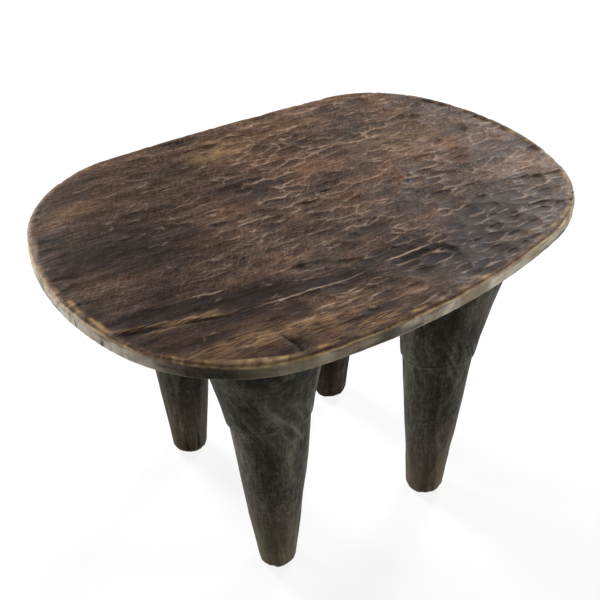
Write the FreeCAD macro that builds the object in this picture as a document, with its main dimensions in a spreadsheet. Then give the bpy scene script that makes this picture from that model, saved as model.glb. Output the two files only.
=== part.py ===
import FreeCAD, Part
import math
import os

import Sketcher
from FreeCAD import Vector

# Carved four-legged stool, millimetres, +Z up.
# The origin lies on the floor under the middle of the seat, and X runs along the grain, the seat's long way.
# Left and right are -X and +X, front and back are -Y and +Y.

UP = Vector(0, 0, 1)

# Driving dimensions. Each one is a cell of the sheet and is written only here.
SEAT_SIZES = {
    "seat_length": 520,
    "seat_width": 378,
    "total_height": 338,
    "slab_thickness": 25,
    # The rim, from the floor side up: thinned underside, upright side, worn upper edge.
    "underside_bevel_width": 45,
    "rim_side_height": 12,
    "worn_edge_height": 3,
    "worn_edge_width": 7,
    # The plan is four long shallow arcs joined by four corner arcs, each with its own radius.
    "front_side_radius": 643,
    "right_end_radius": 240,
    "back_side_radius": 2900,
    "left_end_radius": 271,
    "front_right_corner": 136,
    "back_right_corner": 117,
    "back_left_corner": 137,
    "front_left_corner": 150,
    # Where along its side each long arc stands furthest out.
    "front_crest_x": -52,
    "right_crest_y": 5,
    "back_crest_x": -4,
    "left_crest_y": 7,
    # The hollow of the seat, an oval dish.
    "dish_length": 486,
    "dish_width": 346,
    "dish_depth": 5,
    "dish_cutter_rise": 6,
}
LEG_SIZES = {
    "leg_facets": 20,
    "foot_radius": 19,
    "foot_wear_width": 4,
    "foot_wear_height": 6,
    "shoulder_step": 0.8,
    "hip_hollow": 2,
    # How much of the hip's shift a leg has at its shoulder, and halfway up its hip.
    "shoulder_lean_share": 0.35,
    "hip_middle_lean_share": 0.65,
}
# Each leg is cut by eye, so its place, girth and lean are its own.
# The hip is the flared upper stretch, and its shift is how far its top stands from over the foot.
LEGS = {
    "front_left": {
        "foot_x": -100, "foot_y": -91, "shoulder_height": 192, "shoulder_radius": 39,
        "hip_radius": 66, "hip_shift_x": -17, "hip_shift_y": -3,
    },
    "front_right": {
        "foot_x": 87, "foot_y": -90, "shoulder_height": 180, "shoulder_radius": 35,
        "hip_radius": 62, "hip_shift_x": 4, "hip_shift_y": -2,
    },
    "back_left": {
        "foot_x": -99, "foot_y": 101, "shoulder_height": 186, "shoulder_radius": 36,
        "hip_radius": 63, "hip_shift_x": -9, "hip_shift_y": 2,
    },
    "back_right": {
        "foot_x": 86, "foot_y": 95, "shoulder_height": 184, "shoulder_radius": 35,
        "hip_radius": 62, "hip_shift_x": 7, "hip_shift_y": 2,
    },
}

# Heights and radii that follow from the sheet, as expressions.
UNDERSIDE = "(Sizes.total_height - Sizes.slab_thickness)"
BEVEL_HEIGHT = "(Sizes.slab_thickness - Sizes.rim_side_height - Sizes.worn_edge_height)"
DISH_LONG_RADIUS = "((Sizes.dish_length^2 / 4 + Sizes.dish_depth^2) / (2 * Sizes.dish_depth))"
DISH_CROSS_RADIUS = "((Sizes.dish_width^2 / 4 + Sizes.dish_depth^2) / (2 * Sizes.dish_depth))"
HIP_TOP = f"({UNDERSIDE} + (Sizes.slab_thickness - Sizes.dish_depth) / 2)"
# The dish cutter swings this many times as far as the dish's half width, so that it comes clear of the seat.
DISH_SWING = 3


def make_sheet(doc):
    """Write every driving dimension to the sheet, one row each, with its name as the alias."""
    sheet = doc.addObject("Spreadsheet::Sheet", "Sizes")
    sizes = {**SEAT_SIZES, **LEG_SIZES}
    for leg, own in LEGS.items():
        sizes.update({f"{leg}_{name}": value for name, value in own.items()})
    for row, (name, value) in enumerate(sizes.items(), start=1):
        sheet.set(f"A{row}", name)
        sheet.set(f"B{row}", str(value))
        sheet.setAlias(f"B{row}", name)
    doc.recompute()
    return sheet


def plane_of(body, role):
    """One of the body's own origin planes, by its role."""
    return next(plane for plane in body.Origin.OriginFeatures if plane.Role == role)


def new_sketch(body, name, role, height=None):
    """A sketch on one of the body's origin planes, raised by an expression where one is given."""
    sketch = body.newObject("Sketcher::SketchObject", name)
    sketch.AttachmentSupport = [(plane_of(body, role), "")]
    sketch.MapMode = "FlatFace"
    if height:
        along = "z" if role == "XY_Plane" else "y"
        sketch.setExpression(f"AttachmentOffset.Base.{along}", height)
    return sketch


def bind(sketch, kind, refs, value, name, expression):
    """Add a named dimension to a sketch and bind it to the sheet."""
    index = sketch.addConstraint(Sketcher.Constraint(kind, *refs, value))
    sketch.renameConstraint(index, name)
    sketch.setExpression(f"Constraints.{name}", expression)


def meeting_point(centre_a, reach_a, centre_b, reach_b, corner):
    """The point at the given distances from two centres, on the side of the corner."""
    apart = (centre_b - centre_a).Length
    along = (reach_a**2 - reach_b**2 + apart**2) / (2 * apart)
    aside = math.sqrt(reach_a**2 - along**2)
    direction = (centre_b - centre_a).normalize()
    middle = centre_a + direction * along
    offset = Vector(-direction.y, direction.x, 0) * aside
    return min(middle + offset, middle - offset, key=lambda point: (point - corner).Length)


def arc_between(centre, radius, start, end):
    """The arc that runs anticlockwise about a centre, from facing one point to facing another."""
    angles = [math.atan2(point.y - centre.y, point.x - centre.x) for point in (start, end)]
    return Part.ArcOfCircle(Part.Circle(centre, UP, radius), *angles)


def seat_arcs(sizes):
    """The plan's eight arcs, anticlockwise from the front side, each side followed by its corner."""
    half_length = sizes.seat_length / 2
    half_width = sizes.seat_width / 2
    sides = [
        (Vector(sizes.front_crest_x, sizes.front_side_radius - half_width), sizes.front_side_radius),
        (Vector(half_length - sizes.right_end_radius, sizes.right_crest_y), sizes.right_end_radius),
        (Vector(sizes.back_crest_x, half_width - sizes.back_side_radius), sizes.back_side_radius),
        (Vector(sizes.left_end_radius - half_length, sizes.left_crest_y), sizes.left_end_radius),
    ]
    corners = [
        (Vector(half_length, -half_width), sizes.front_right_corner),
        (Vector(half_length, half_width), sizes.back_right_corner),
        (Vector(-half_length, half_width), sizes.back_left_corner),
        (Vector(-half_length, -half_width), sizes.front_left_corner),
    ]
    centres = []
    for index, (corner, radius) in enumerate(corners):
        side, following = sides[index], sides[(index + 1) % 4]
        centres.append(meeting_point(side[0], side[1] - radius, following[0], following[1] - radius, corner))
    arcs = []
    for index, (centre, radius) in enumerate(sides):
        following = sides[(index + 1) % 4][0]
        turn, turn_radius = centres[index], corners[index][1]
        arcs.append(arc_between(centre, radius, centres[index - 1], turn))
        arcs.append(arc_between(turn, turn_radius, turn * 2 - centre, turn * 2 - following))
    return arcs


def draw_plan(sketch, sizes):
    """Draw the seat's plan and tie its radii and crests to the sheet."""
    arcs = seat_arcs(sizes)
    for arc in arcs:
        sketch.addGeometry(arc)
    for index in range(len(arcs)):
        sketch.addConstraint(Sketcher.Constraint("Tangent", index, 2, (index + 1) % len(arcs), 1))
    radii = [
        "front_side_radius", "front_right_corner", "right_end_radius", "back_right_corner",
        "back_side_radius", "back_left_corner", "left_end_radius", "front_left_corner",
    ]
    for index, name in enumerate(radii):
        bind(sketch, "Radius", (index,), arcs[index].Radius, name, f"Sizes.{name}")
    centres = {
        0: ("front", "Sizes.front_crest_x", "Sizes.front_side_radius - Sizes.seat_width / 2"),
        2: ("right", "Sizes.seat_length / 2 - Sizes.right_end_radius", "Sizes.right_crest_y"),
        4: ("back", "Sizes.back_crest_x", "Sizes.seat_width / 2 - Sizes.back_side_radius"),
        6: ("left", "Sizes.left_end_radius - Sizes.seat_length / 2", "Sizes.left_crest_y"),
    }
    for index, (side, across, along) in centres.items():
        centre = arcs[index].Center
        bind(sketch, "DistanceX", (-1, 1, index, 3), centre.x, f"{side}_centre_x", across)
        bind(sketch, "DistanceY", (-1, 1, index, 3), centre.y, f"{side}_centre_y", along)


def face_at(shape, height):
    """The name of the level face at a height."""
    for index, face in enumerate(shape.Faces, start=1):
        box = face.BoundBox
        if box.ZLength < 1e-6 and abs(box.ZMin - height) < 1e-6:
            return f"Face{index}"
    raise RuntimeError(f"no level face at height {height}")


def bevel(body, name, base, face, height, width):
    """Bevel all round a level face: height is taken off the side, and width off the face."""
    feature = body.newObject("PartDesign::Chamfer", name)
    feature.Base = (base, [face])
    feature.ChamferType = "Two distances"
    feature.setExpression("Size", height)
    feature.setExpression("Size2", width)
    return feature


def cut_dish(body, sizes):
    """Hollow the seat with a cutter that is curved along the seat and swung across it."""
    swing_height = f"Sizes.total_height - Sizes.dish_depth + {DISH_CROSS_RADIUS}"
    sketch = new_sketch(body, "dish_profile", "XZ_Plane", swing_height)
    depth = sizes.dish_depth
    long_radius = (sizes.dish_length**2 / 4 + depth**2) / (2 * depth)
    cross_radius = (sizes.dish_width**2 / 4 + depth**2) / (2 * depth)
    # The cutter stands clear above the seat, so its own top never meets the seat's.
    cutter = depth + sizes.dish_cutter_rise
    half = math.sqrt(cutter * (2 * long_radius - cutter))
    left = Vector(-half, cutter - cross_radius)
    right = Vector(half, cutter - cross_radius)
    centre = Vector(0, long_radius - cross_radius)
    sketch.addGeometry(arc_between(centre, long_radius, left, right))
    sketch.addGeometry(Part.LineSegment(right, left))
    sketch.addConstraint(Sketcher.Constraint("Coincident", 0, 2, 1, 1))
    sketch.addConstraint(Sketcher.Constraint("Coincident", 0, 1, 1, 2))
    sketch.addConstraint(Sketcher.Constraint("PointOnObject", 0, 3, -2))
    sketch.addConstraint(Sketcher.Constraint("Horizontal", 1))
    bind(sketch, "Radius", (0,), long_radius, "dish_long_radius", DISH_LONG_RADIUS)
    bind(sketch, "DistanceY", (-1, 1, 0, 3), centre.y, "dish_floor",
         f"{DISH_LONG_RADIUS} - {DISH_CROSS_RADIUS}")
    bind(sketch, "DistanceY", (-1, 1, 1, 1), right.y, "cutter_top",
         f"Sizes.dish_depth + Sizes.dish_cutter_rise - {DISH_CROSS_RADIUS}")
    groove = body.newObject("PartDesign::Groove", "dish")
    groove.Profile = sketch
    groove.ReferenceAxis = (sketch, ["H_Axis"])
    groove.Midplane = True
    groove.setExpression("Angle", f"2 * {DISH_SWING} * asin(Sizes.dish_width / 2 / {DISH_CROSS_RADIUS})")
    return groove


def make_seat(doc, sizes):
    """The seat: a slab thinned to a narrow rim all round, worn at its upper edge and hollowed on top."""
    body = doc.addObject("PartDesign::Body", "seat_body")
    body.Label = "seat"
    plan = new_sketch(body, "seat_plan", "XY_Plane", UNDERSIDE)
    draw_plan(plan, sizes)
    slab = body.newObject("PartDesign::Pad", "slab")
    slab.Profile = plan
    slab.setExpression("Length", "Sizes.slab_thickness")
    doc.recompute()
    underside = sizes.total_height - sizes.slab_thickness
    thinned = bevel(body, "thinned_underside", slab, face_at(slab.Shape, underside),
                    BEVEL_HEIGHT, "Sizes.underside_bevel_width")
    doc.recompute()
    worn = bevel(body, "worn_edge", thinned, face_at(thinned.Shape, sizes.total_height),
                 "Sizes.worn_edge_height", "Sizes.worn_edge_width")
    doc.recompute()
    solid_volume = worn.Shape.Volume
    cut_dish(body, sizes)
    doc.recompute()
    if not body.Shape.Volume < solid_volume:
        raise RuntimeError("the dish took nothing off the seat")
    return body


def ring(doc, leg, name, radius, height="0", lean="0"):
    """A level many-sided ring round a leg: its radius and height, and its share of the hip's shift."""
    feature = doc.addObject("Part::RegularPolygon", f"{leg}_{name}")
    feature.setExpression("Polygon", "Sizes.leg_facets")
    feature.setExpression("Circumradius", radius)
    for axis in ("x", "y"):
        feature.setExpression(f"Placement.Base.{axis}",
                              f"Sizes.{leg}_foot_{axis} + {lean} * Sizes.{leg}_hip_shift_{axis}")
    feature.setExpression("Placement.Base.z", height)
    return feature


def hew(doc, leg, name, rings):
    """Join rings by flat facets into one solid stretch of a leg."""
    feature = doc.addObject("Part::Loft", f"{leg}_{name}")
    feature.Sections = rings
    feature.Ruled = True
    feature.Solid = True
    return feature


def make_leg(doc, seat, leg):
    """A leg hewn in long facets: a tapered shank, a shoulder line, and a hip that flares up to the seat."""
    shoulder_height = f"Sizes.{leg}_shoulder_height"
    shoulder_radius = f"Sizes.{leg}_shoulder_radius"
    hip_radius = f"Sizes.{leg}_hip_radius"
    shoulder_lean = "Sizes.shoulder_lean_share"
    shank = hew(doc, leg, "shank", [
        ring(doc, leg, "sole", "Sizes.foot_radius - Sizes.foot_wear_width"),
        ring(doc, leg, "ankle", "Sizes.foot_radius", "Sizes.foot_wear_height"),
        ring(doc, leg, "shank_top", shoulder_radius, shoulder_height, shoulder_lean),
    ])
    hip = hew(doc, leg, "hip", [
        ring(doc, leg, "shoulder", f"{shoulder_radius} + Sizes.shoulder_step",
             shoulder_height, shoulder_lean),
        ring(doc, leg, "hip_middle", f"({shoulder_radius} + {hip_radius}) / 2 - Sizes.hip_hollow",
             f"({shoulder_height} + {HIP_TOP}) / 2", "Sizes.hip_middle_lean_share"),
        ring(doc, leg, "hip_top", hip_radius, HIP_TOP, "1"),
    ])
    whole = doc.addObject("Part::Fuse", f"{leg}_blank")
    whole.Base = shank
    whole.Tool = hip
    # The hip runs up past the underside and is trimmed by it, so the two meet face to face.
    trimmed = doc.addObject("Part::Cut", f"{leg}_leg")
    trimmed.Base = whole
    trimmed.Tool = seat
    trimmed.Label = f"leg_{leg}"
    doc.recompute()
    return trimmed


def check(doc, pieces):
    """Stop if any object failed to compute or any piece isn't one valid solid."""
    for item in doc.Objects:
        if "Invalid" in item.State or "Error" in item.State:
            raise RuntimeError(f"{item.Label} failed: {item.State}")
    for piece in pieces:
        shape = piece.Shape
        if shape.isNull() or not shape.isValid() or len(shape.Solids) != 1:
            raise RuntimeError(f"{piece.Label} isn't one valid solid")


def main():
    doc = FreeCAD.newDocument("carved_stool")
    sizes = make_sheet(doc)
    seat = make_seat(doc, sizes)
    pieces = [seat] + [make_leg(doc, seat, leg) for leg in LEGS]
    doc.recompute()
    check(doc, pieces)
    os.makedirs("parts", exist_ok=True)
    for piece in pieces:
        piece.Shape.exportStep(f"parts/{piece.Label}.step")
        print(piece.Label, round(piece.Shape.Volume / 1000), "cm3", piece.Shape.BoundBox)


main()
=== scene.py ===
"""A carved wooden stool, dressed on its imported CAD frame.

The stool is cut from one block. Its seat is an uneven oblong, dished and worked all over with an adze, and
its legs are hewn in long strokes. Each sub-assembly is a class that measures its CAD node in the frame,
builds a closed mesh over it with the tool marks, splits and wear as real shape, and dresses it with its
wood.
"""

from __future__ import annotations

import itertools
import logging
import math
from dataclasses import dataclass, field
from enum import Enum
from typing import Any

import bpy
import numpy as np
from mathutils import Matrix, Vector
from mathutils.bvhtree import BVHTree


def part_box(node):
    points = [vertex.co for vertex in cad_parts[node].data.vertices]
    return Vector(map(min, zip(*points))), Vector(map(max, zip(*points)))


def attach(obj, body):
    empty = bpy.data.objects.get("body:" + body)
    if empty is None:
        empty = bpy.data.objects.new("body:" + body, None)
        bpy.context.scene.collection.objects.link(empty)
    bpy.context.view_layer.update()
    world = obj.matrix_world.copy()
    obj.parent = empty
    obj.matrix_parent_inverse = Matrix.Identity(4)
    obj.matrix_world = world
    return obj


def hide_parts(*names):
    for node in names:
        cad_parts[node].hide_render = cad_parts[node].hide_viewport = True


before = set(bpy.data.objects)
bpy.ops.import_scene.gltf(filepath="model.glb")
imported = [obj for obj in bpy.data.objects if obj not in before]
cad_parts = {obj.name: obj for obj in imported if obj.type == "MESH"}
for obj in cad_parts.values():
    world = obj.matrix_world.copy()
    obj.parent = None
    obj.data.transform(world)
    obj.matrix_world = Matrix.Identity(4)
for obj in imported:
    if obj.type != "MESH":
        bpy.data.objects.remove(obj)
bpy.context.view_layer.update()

MM = 0.001
BAKE_MAP = "OFBake"
# Where the seat's two broad faces lie on the bake map, and how many mm of each fill its width.
TOP_BAKE_MIDDLE = np.array([0.5, 0.645])
TOP_BAKE_SIZE = 540.0
UNDER_BAKE_MIDDLE = np.array([0.20, 0.14])
UNDER_BAKE_SIZE = 1450.0
# Odd numbers that scatter the values of the noise.
SEED_SCATTER = 7919
CELL_SCATTER = 1540483477
LAST_SCATTER = 668265263
log = logging.getLogger("carved_stool")


class Slot(Enum):
    """The material slots' names."""

    SEAT = "seat_wood"
    LEG = "leg_wood"


class Grain(Enum):
    """The way that the wood's grain runs in a piece."""

    LENGTHWISE = 0
    UPRIGHT = 2


class Side(Enum):
    """The two broad faces of the seat."""

    TOP = 1
    UNDERSIDE = -1


def to_linear(code: str) -> tuple[float, float, float, float]:
    """Turns an sRGB hex colour into the linear colour that a shader takes.

    Args:
        code: a colour such as "#5d4d45".

    Returns:
        Its linear red, green and blue, and an alpha of 1.
    """
    shares = [int(code[place : place + 2], 16) / 255.0 for place in (1, 3, 5)]
    linear = [s / 12.92 if s <= 0.04045 else ((s + 0.055) / 1.055) ** 2.4 for s in shares]
    return (linear[0], linear[1], linear[2], 1.0)


def add_node(
    tree: bpy.types.NodeTree,
    kind: str,
    settings: dict[str, Any] | None = None,
    inputs: dict[str | int, Any] | None = None,
) -> bpy.types.Node:
    """Adds a node to a tree, with its settings and what goes into it.

    Args:
        tree: the tree that the node joins.
        kind: the node's type name.
        settings: values for the node's own properties.
        inputs: a value, or another node's output, for each named or numbered input.

    Returns:
        The new node.
    """
    node = tree.nodes.new(kind)
    for name, value in (settings or {}).items():
        setattr(node, name, value)
    for key, value in (inputs or {}).items():
        if isinstance(value, bpy.types.NodeSocket):
            tree.links.new(value, node.inputs[key])
        else:
            node.inputs[key].default_value = value
    return node


def smooth_step(low: float, high: float, value: np.ndarray) -> np.ndarray:
    """Eases from 0 at low to 1 at high, which may be the smaller of the two."""
    share = np.clip((value - low) / (high - low), 0.0, 1.0)
    return share * share * (3.0 - 2.0 * share)


@dataclass(frozen=True)
class Unevenness:
    """Smooth repeatable noise from -1 to 1, with about one bump per unit.

    Attributes:
        seed: picks the pattern.
    """

    seed: int

    def at(self, *places: np.ndarray) -> np.ndarray:
        """Gives the noise at points.

        Args:
            places: two or three arrays of the same shape, one for each coordinate.

        Returns:
            The noise at each point, in an array of that shape.
        """
        cells = [np.floor(p).astype(np.int64) for p in places]
        parts = [p - c for p, c in zip(places, cells)]
        eased = [p * p * p * (p * (6.0 * p - 15.0) + 10.0) for p in parts]
        total = np.zeros_like(parts[0])
        for corner in itertools.product((0, 1), repeat=len(places)):
            weight = np.ones_like(total)
            key = np.full(total.shape, self.seed * SEED_SCATTER + 17, np.int64)
            for step, cell, ease in zip(corner, cells, eased):
                weight = weight * (ease if step else 1.0 - ease)
                key = ((key ^ (cell + step)) * CELL_SCATTER) & 0xFFFFFFFF
                key = key ^ (key >> 15)
            key = (key * LAST_SCATTER) & 0xFFFFFFFF
            total += weight * (((key ^ (key >> 13)) & 0xFFFF) / 32767.5 - 1.0)
        return total


@dataclass
class Sheet:
    """A worked surface laid flat, with how far it is cut below the uncut wood, in mm.

    Attributes:
        left: where it starts along the grain.
        low: where it starts across the grain.
        length: its size along the grain.
        width: its size across the grain.
        step: the distance between its points.
        wraps: true where its two long edges are the same line, as round a leg.
    """

    left: float
    low: float
    length: float
    width: float
    step: float
    wraps: bool = False
    along: np.ndarray = field(init=False)
    across: np.ndarray = field(init=False)
    cut: np.ndarray = field(init=False)
    next_cut: np.ndarray = field(init=False)
    tone: np.ndarray = field(init=False)

    def __post_init__(self) -> None:
        """Lays out the points, all uncut."""
        columns = int(round(self.length / self.step)) + 1
        rows = int(round(self.width / self.step)) + (0 if self.wraps else 1)
        self.along, self.across = np.meshgrid(
            self.left + np.arange(columns) * self.step,
            self.low + np.arange(rows) * self.step,
        )
        self.cut = np.zeros_like(self.along)
        self.next_cut = np.zeros_like(self.along)
        self.tone = np.zeros_like(self.along)

    def ridges(self, sharpness: np.ndarray) -> np.ndarray:
        """Gives 1 on the crests left between bites, falling to 0 over a cut of that sharpness in mm."""
        return np.exp(-(self.next_cut - self.cut) / sharpness)

    def nearness(self, reach: float) -> np.ndarray:
        """Gives 1 on the crests left between bites, falling evenly to 0 at a distance from them, in mm."""
        rise = self.next_cut - self.cut
        across, along = np.gradient(rise, self.step)
        slope = np.hypot(across, along)
        for axis in (0, 1):
            slope = np.maximum(slope, np.maximum(np.roll(slope, 1, axis), np.roll(slope, -1, axis)))
        return np.clip(1.0 - rise / (slope + 1e-4) / reach, 0.0, 1.0)

    def soften(self, values: np.ndarray, along: int, across: int) -> np.ndarray:
        """Averages a map over that many points each way, so that a coarser mesh shows its fine lines.

        Args:
            values: one value for each point of the sheet.
            along: how many points each way along the grain.
            across: how many points each way across the grain.

        Returns:
            The softened map.
        """
        for axis, reach in ((1, along), (0, across)):
            shifts = range(-reach, reach + 1)
            values = sum(np.roll(values, shift, axis) for shift in shifts) / len(shifts)
        return values

    def read(self, values: np.ndarray, along: np.ndarray, across: np.ndarray) -> np.ndarray:
        """Reads a map of this sheet at points between its own.

        Args:
            values: one value for each point of the sheet.
            along: the places along the grain.
            across: the places across the grain.

        Returns:
            The values at those places.
        """
        rows, columns = values.shape
        u = np.clip((along - self.left) / self.step, 0.0, columns - 1.001)
        v = (across - self.low) / self.step
        v = np.mod(v, rows) if self.wraps else np.clip(v, 0.0, rows - 1.001)
        column = np.floor(u).astype(int)
        row = np.floor(v).astype(int) % rows
        above = (row + 1) % rows
        du = u - column
        dv = v - np.floor(v)
        near = values[row, column] * (1.0 - du) + values[row, column + 1] * du
        far = values[above, column] * (1.0 - du) + values[above, column + 1] * du
        return near * (1.0 - dv) + far * dv


@dataclass(frozen=True)
class Bites:
    """One pass over a surface with an edged tool, as rows of hollow bites. Sizes are in mm.

    Attributes:
        length: a bite's length, along the grain.
        width: its width.
        depth: its depth.
        spacing: from one bite to the next along a row.
        row_gap: from one row to the next.
        lean: how far a bite may turn from the grain, in degrees.
        seed: picks the places.
    """

    length: float
    width: float
    depth: float
    spacing: float
    row_gap: float
    lean: float
    seed: int

    def work(self, sheet: Sheet, share: np.ndarray) -> None:
        """Cuts the bites into a sheet.

        Args:
            sheet: the surface to work.
            share: how hard the tool was driven at each point of it, from 0 to 1.
        """
        chance = np.random.default_rng(self.seed)
        rows = np.arange(sheet.low, sheet.low + sheet.width, self.row_gap)
        for number, across in enumerate(rows):
            start = sheet.left + (number % 2) * self.spacing / 2.0
            for along in np.arange(start, sheet.left + sheet.length, self.spacing):
                shift, drift, size, drive, turn, tone = chance.uniform(-1.0, 1.0, 6)
                self._bite(
                    sheet,
                    share,
                    along + 0.48 * self.spacing * shift,
                    across + 0.42 * self.row_gap * drift,
                    1.0 + 0.42 * size,
                    1.0 + 0.50 * drive,
                    math.radians(self.lean * turn),
                    tone,
                )

    def _bite(
        self,
        sheet: Sheet,
        share: np.ndarray,
        along: float,
        across: float,
        size: float,
        drive: float,
        turn: float,
        tone: float,
    ) -> None:
        """Takes one bite, deepest in its middle, and keeps the crests where it meets others.

        Args:
            sheet: the surface to work.
            share: how hard the tool was driven at each point of it.
            along: the middle of the bite along the grain.
            across: the middle of the bite across the grain.
            size: its size as a share of the pass's own.
            drive: its depth as a share of the pass's own.
            turn: its turn from the grain, in radians.
            tone: how dark the wood in it is, from -1 to 1.
        """
        rows, columns = sheet.cut.shape
        half_length = self.length / 2.0 * size
        half_width = self.width / 2.0 * size
        column = int(round((along - sheet.left) / sheet.step))
        row = int(round((across - sheet.low) / sheet.step))
        reach = int(half_length / sheet.step) + 1
        span = int((1.2 * half_width + half_length * abs(math.sin(turn))) / sheet.step) + 1
        across_list = np.arange(row - span, row + span + 1)
        along_list = np.arange(max(0, column - reach), min(columns, column + reach + 1))
        if not sheet.wraps:
            across_list = across_list[(across_list >= 0) & (across_list < rows)]
        if len(along_list) == 0 or len(across_list) == 0:
            return
        du = sheet.left + along_list[None, :] * sheet.step - along
        dv = sheet.low + across_list[:, None] * sheet.step - across
        u = (du * math.cos(turn) + dv * math.sin(turn)) / half_length
        v = (dv * math.cos(turn) - du * math.sin(turn)) / half_width
        # The tool goes in steeply on one side of the bite and lifts out slowly on the other.
        v = np.where(v > 0.0, 1.3 * v, 0.85 * v)
        window = np.ix_(across_list % rows, along_list)
        middle = share[row % rows, min(max(column, 0), columns - 1)]
        bowl = self.depth * drive * middle * (u * u + v * v - 1.0)
        old = sheet.cut[window]
        sheet.next_cut[window] = np.minimum(sheet.next_cut[window], np.maximum(old, bowl))
        sheet.cut[window] = np.minimum(old, bowl)
        sheet.tone[window] = np.where(bowl < old, tone, sheet.tone[window])


@dataclass(frozen=True)
class Mark:
    """A split or gash along a line on the seat's top, in mm.

    Attributes:
        path: the points of the line, as x and y.
        width: its width.
        depth: its depth.
        darkness: how black it is inside, from 0 to 1.
    """

    path: tuple[tuple[float, float], ...]
    width: float
    depth: float
    darkness: float = 1.0

    def strength(self, x: np.ndarray, y: np.ndarray) -> np.ndarray:
        """Gives 1 along the middle of the line, thinning to its ends, and 0 away from it."""
        wander = Unevenness(41)
        x = x + 0.8 * wander.at(x / 6.0, y / 6.0)
        y = y + 0.8 * wander.at(y / 5.0 + 30.0, x / 5.0)
        best = np.zeros_like(x)
        runs = list(zip(self.path[:-1], self.path[1:]))
        for number, (start, end) in enumerate(runs):
            run = np.subtract(end, start)
            along = ((x - start[0]) * run[0] + (y - start[1]) * run[1]) / float(run @ run)
            held = np.clip(along, 0.0, 1.0)
            gap = np.hypot(x - start[0] - held * run[0], y - start[1] - held * run[1])
            share = (number + held) / len(runs)
            thin = np.sqrt(np.clip(4.0 * share * (1.0 - share) + 0.12, 0.0, 1.0))
            best = np.maximum(best, thin * np.exp(-((gap / (0.5 * self.width * thin)) ** 2)))
        return best


@dataclass(frozen=True)
class Patch:
    """A soft-edged oval area of the seat's top, in mm.

    Attributes:
        x: its middle along the seat.
        y: its middle across the seat.
        length: its size along the seat.
        width: its size across the seat.
        strength: how strong it is in its middle, from 0 to 1.
    """

    x: float
    y: float
    length: float
    width: float
    strength: float

    def cover(self, x: np.ndarray, y: np.ndarray) -> np.ndarray:
        """Gives the patch's strength at each point."""
        u = (x - self.x) / (0.5 * self.length)
        v = (y - self.y) / (0.5 * self.width)
        return self.strength * np.exp(-(u * u + v * v))


@dataclass
class Draft:
    """A mesh in the making, in mm, with a bake map and a mask for each kind of wear."""

    points: list[np.ndarray] = field(default_factory=list)
    faces: list[list[int]] = field(default_factory=list)
    corners: list[np.ndarray] = field(default_factory=list)
    masks: dict[str, list[np.ndarray]] = field(default_factory=dict)
    count: int = 0

    def add_points(self, points: np.ndarray, masks: dict[str, np.ndarray]) -> np.ndarray:
        """Adds points with their masks.

        Args:
            points: their places, in an array whose last axis is x, y and z.
            masks: one value for each point, for each mask. Masks left out are 0.

        Returns:
            The points' numbers, in an array of the same shape.
        """
        shape = points.shape[:-1]
        total = int(np.prod(shape))
        for name in {**self.masks, **masks}:
            held = self.masks.setdefault(name, [np.zeros(self.count)])
            held.append(np.ravel(masks.get(name, np.zeros(total))))
        self.points.append(points.reshape(-1, 3))
        numbers = np.arange(self.count, self.count + total).reshape(shape)
        self.count += total
        return numbers

    def add_faces(self, faces: np.ndarray, bake: np.ndarray) -> None:
        """Adds faces.

        Args:
            faces: the numbers of each face's points, going round it seen from outside.
            bake: the place of each of those corners on the bake map.
        """
        sides = faces.shape[-1]
        self.faces.extend(faces.reshape(-1, sides).tolist())
        self.corners.append(bake.reshape(-1, 2))

    def make(self, name: str, material: bpy.types.Material) -> bpy.types.Object:
        """Makes the mesh object.

        Args:
            name: the piece's name.
            material: its finish.

        Returns:
            The new object, linked to the scene.
        """
        mesh = bpy.data.meshes.new(name)
        mesh.from_pydata((np.concatenate(self.points) * MM).tolist(), [], self.faces)
        layer = mesh.uv_layers.new(name=BAKE_MAP)
        layer.data.foreach_set("uv", np.concatenate(self.corners).astype(np.float32).ravel())
        for mask, values in self.masks.items():
            attribute = mesh.attributes.new(mask, "FLOAT", "POINT")
            attribute.data.foreach_set("value", np.concatenate(values).astype(np.float32))
        mesh.shade_smooth()
        mesh.materials.append(material)
        piece = bpy.data.objects.new(name, mesh)
        bpy.context.scene.collection.objects.link(piece)
        return piece


def node_surface(node: str) -> BVHTree:
    """Gives a CAD node's surface, in mm, for measuring with rays."""
    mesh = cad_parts[node].data
    points = [v.co / MM for v in mesh.vertices]
    return BVHTree.FromPolygons(points, [tuple(p.vertices) for p in mesh.polygons])


@dataclass(frozen=True)
class Layer:
    """A change of the wood's colour and polish over a mask.

    Attributes:
        mask: the mask's name.
        colour: the colour there, in sRGB hex.
        share: how much of the wood's own colour it hides.
        broken: how much small mottling breaks it up, from 0 to 1.
        roughness: the surface's roughness there.
        start: the mask's value at which it starts to show.
        along: true where fine streaks along the grain break it up, in place of the mottling.
    """

    mask: str
    colour: str
    share: float
    broken: float
    roughness: float
    start: float = 0.0
    along: bool = False


@dataclass(frozen=True)
class Drift:
    """A slow change of the wood's colour from place to place.

    Attributes:
        colour: what it turns towards, in sRGB hex.
        size: the size of one area, in mm.
        share: how far it turns, from 0 to 1.
    """

    colour: str
    size: float
    share: float


@dataclass(frozen=True)
class Pattern:
    """Small marks in the wood, drawn out along the grain. Sizes are in mm.

    Attributes:
        length: a mark's length along the grain.
        width: its width across the grain.
        dark: how far its low places turn to the wood's dark tone, from 0 to 1.
        light: how far its high places turn to the wood's light tone, from 0 to 1.
        relief: the height of its own relief.
        start: how far from its middle value its tones start.
        detail: how many finer layers of marks it has.
        turn: its turn from the grain, in degrees.
    """

    length: float
    width: float
    dark: float = 0.0
    light: float = 0.0
    relief: float = 0.0
    start: float = 0.01
    detail: float = 3.0
    turn: float = 0.0


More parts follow.
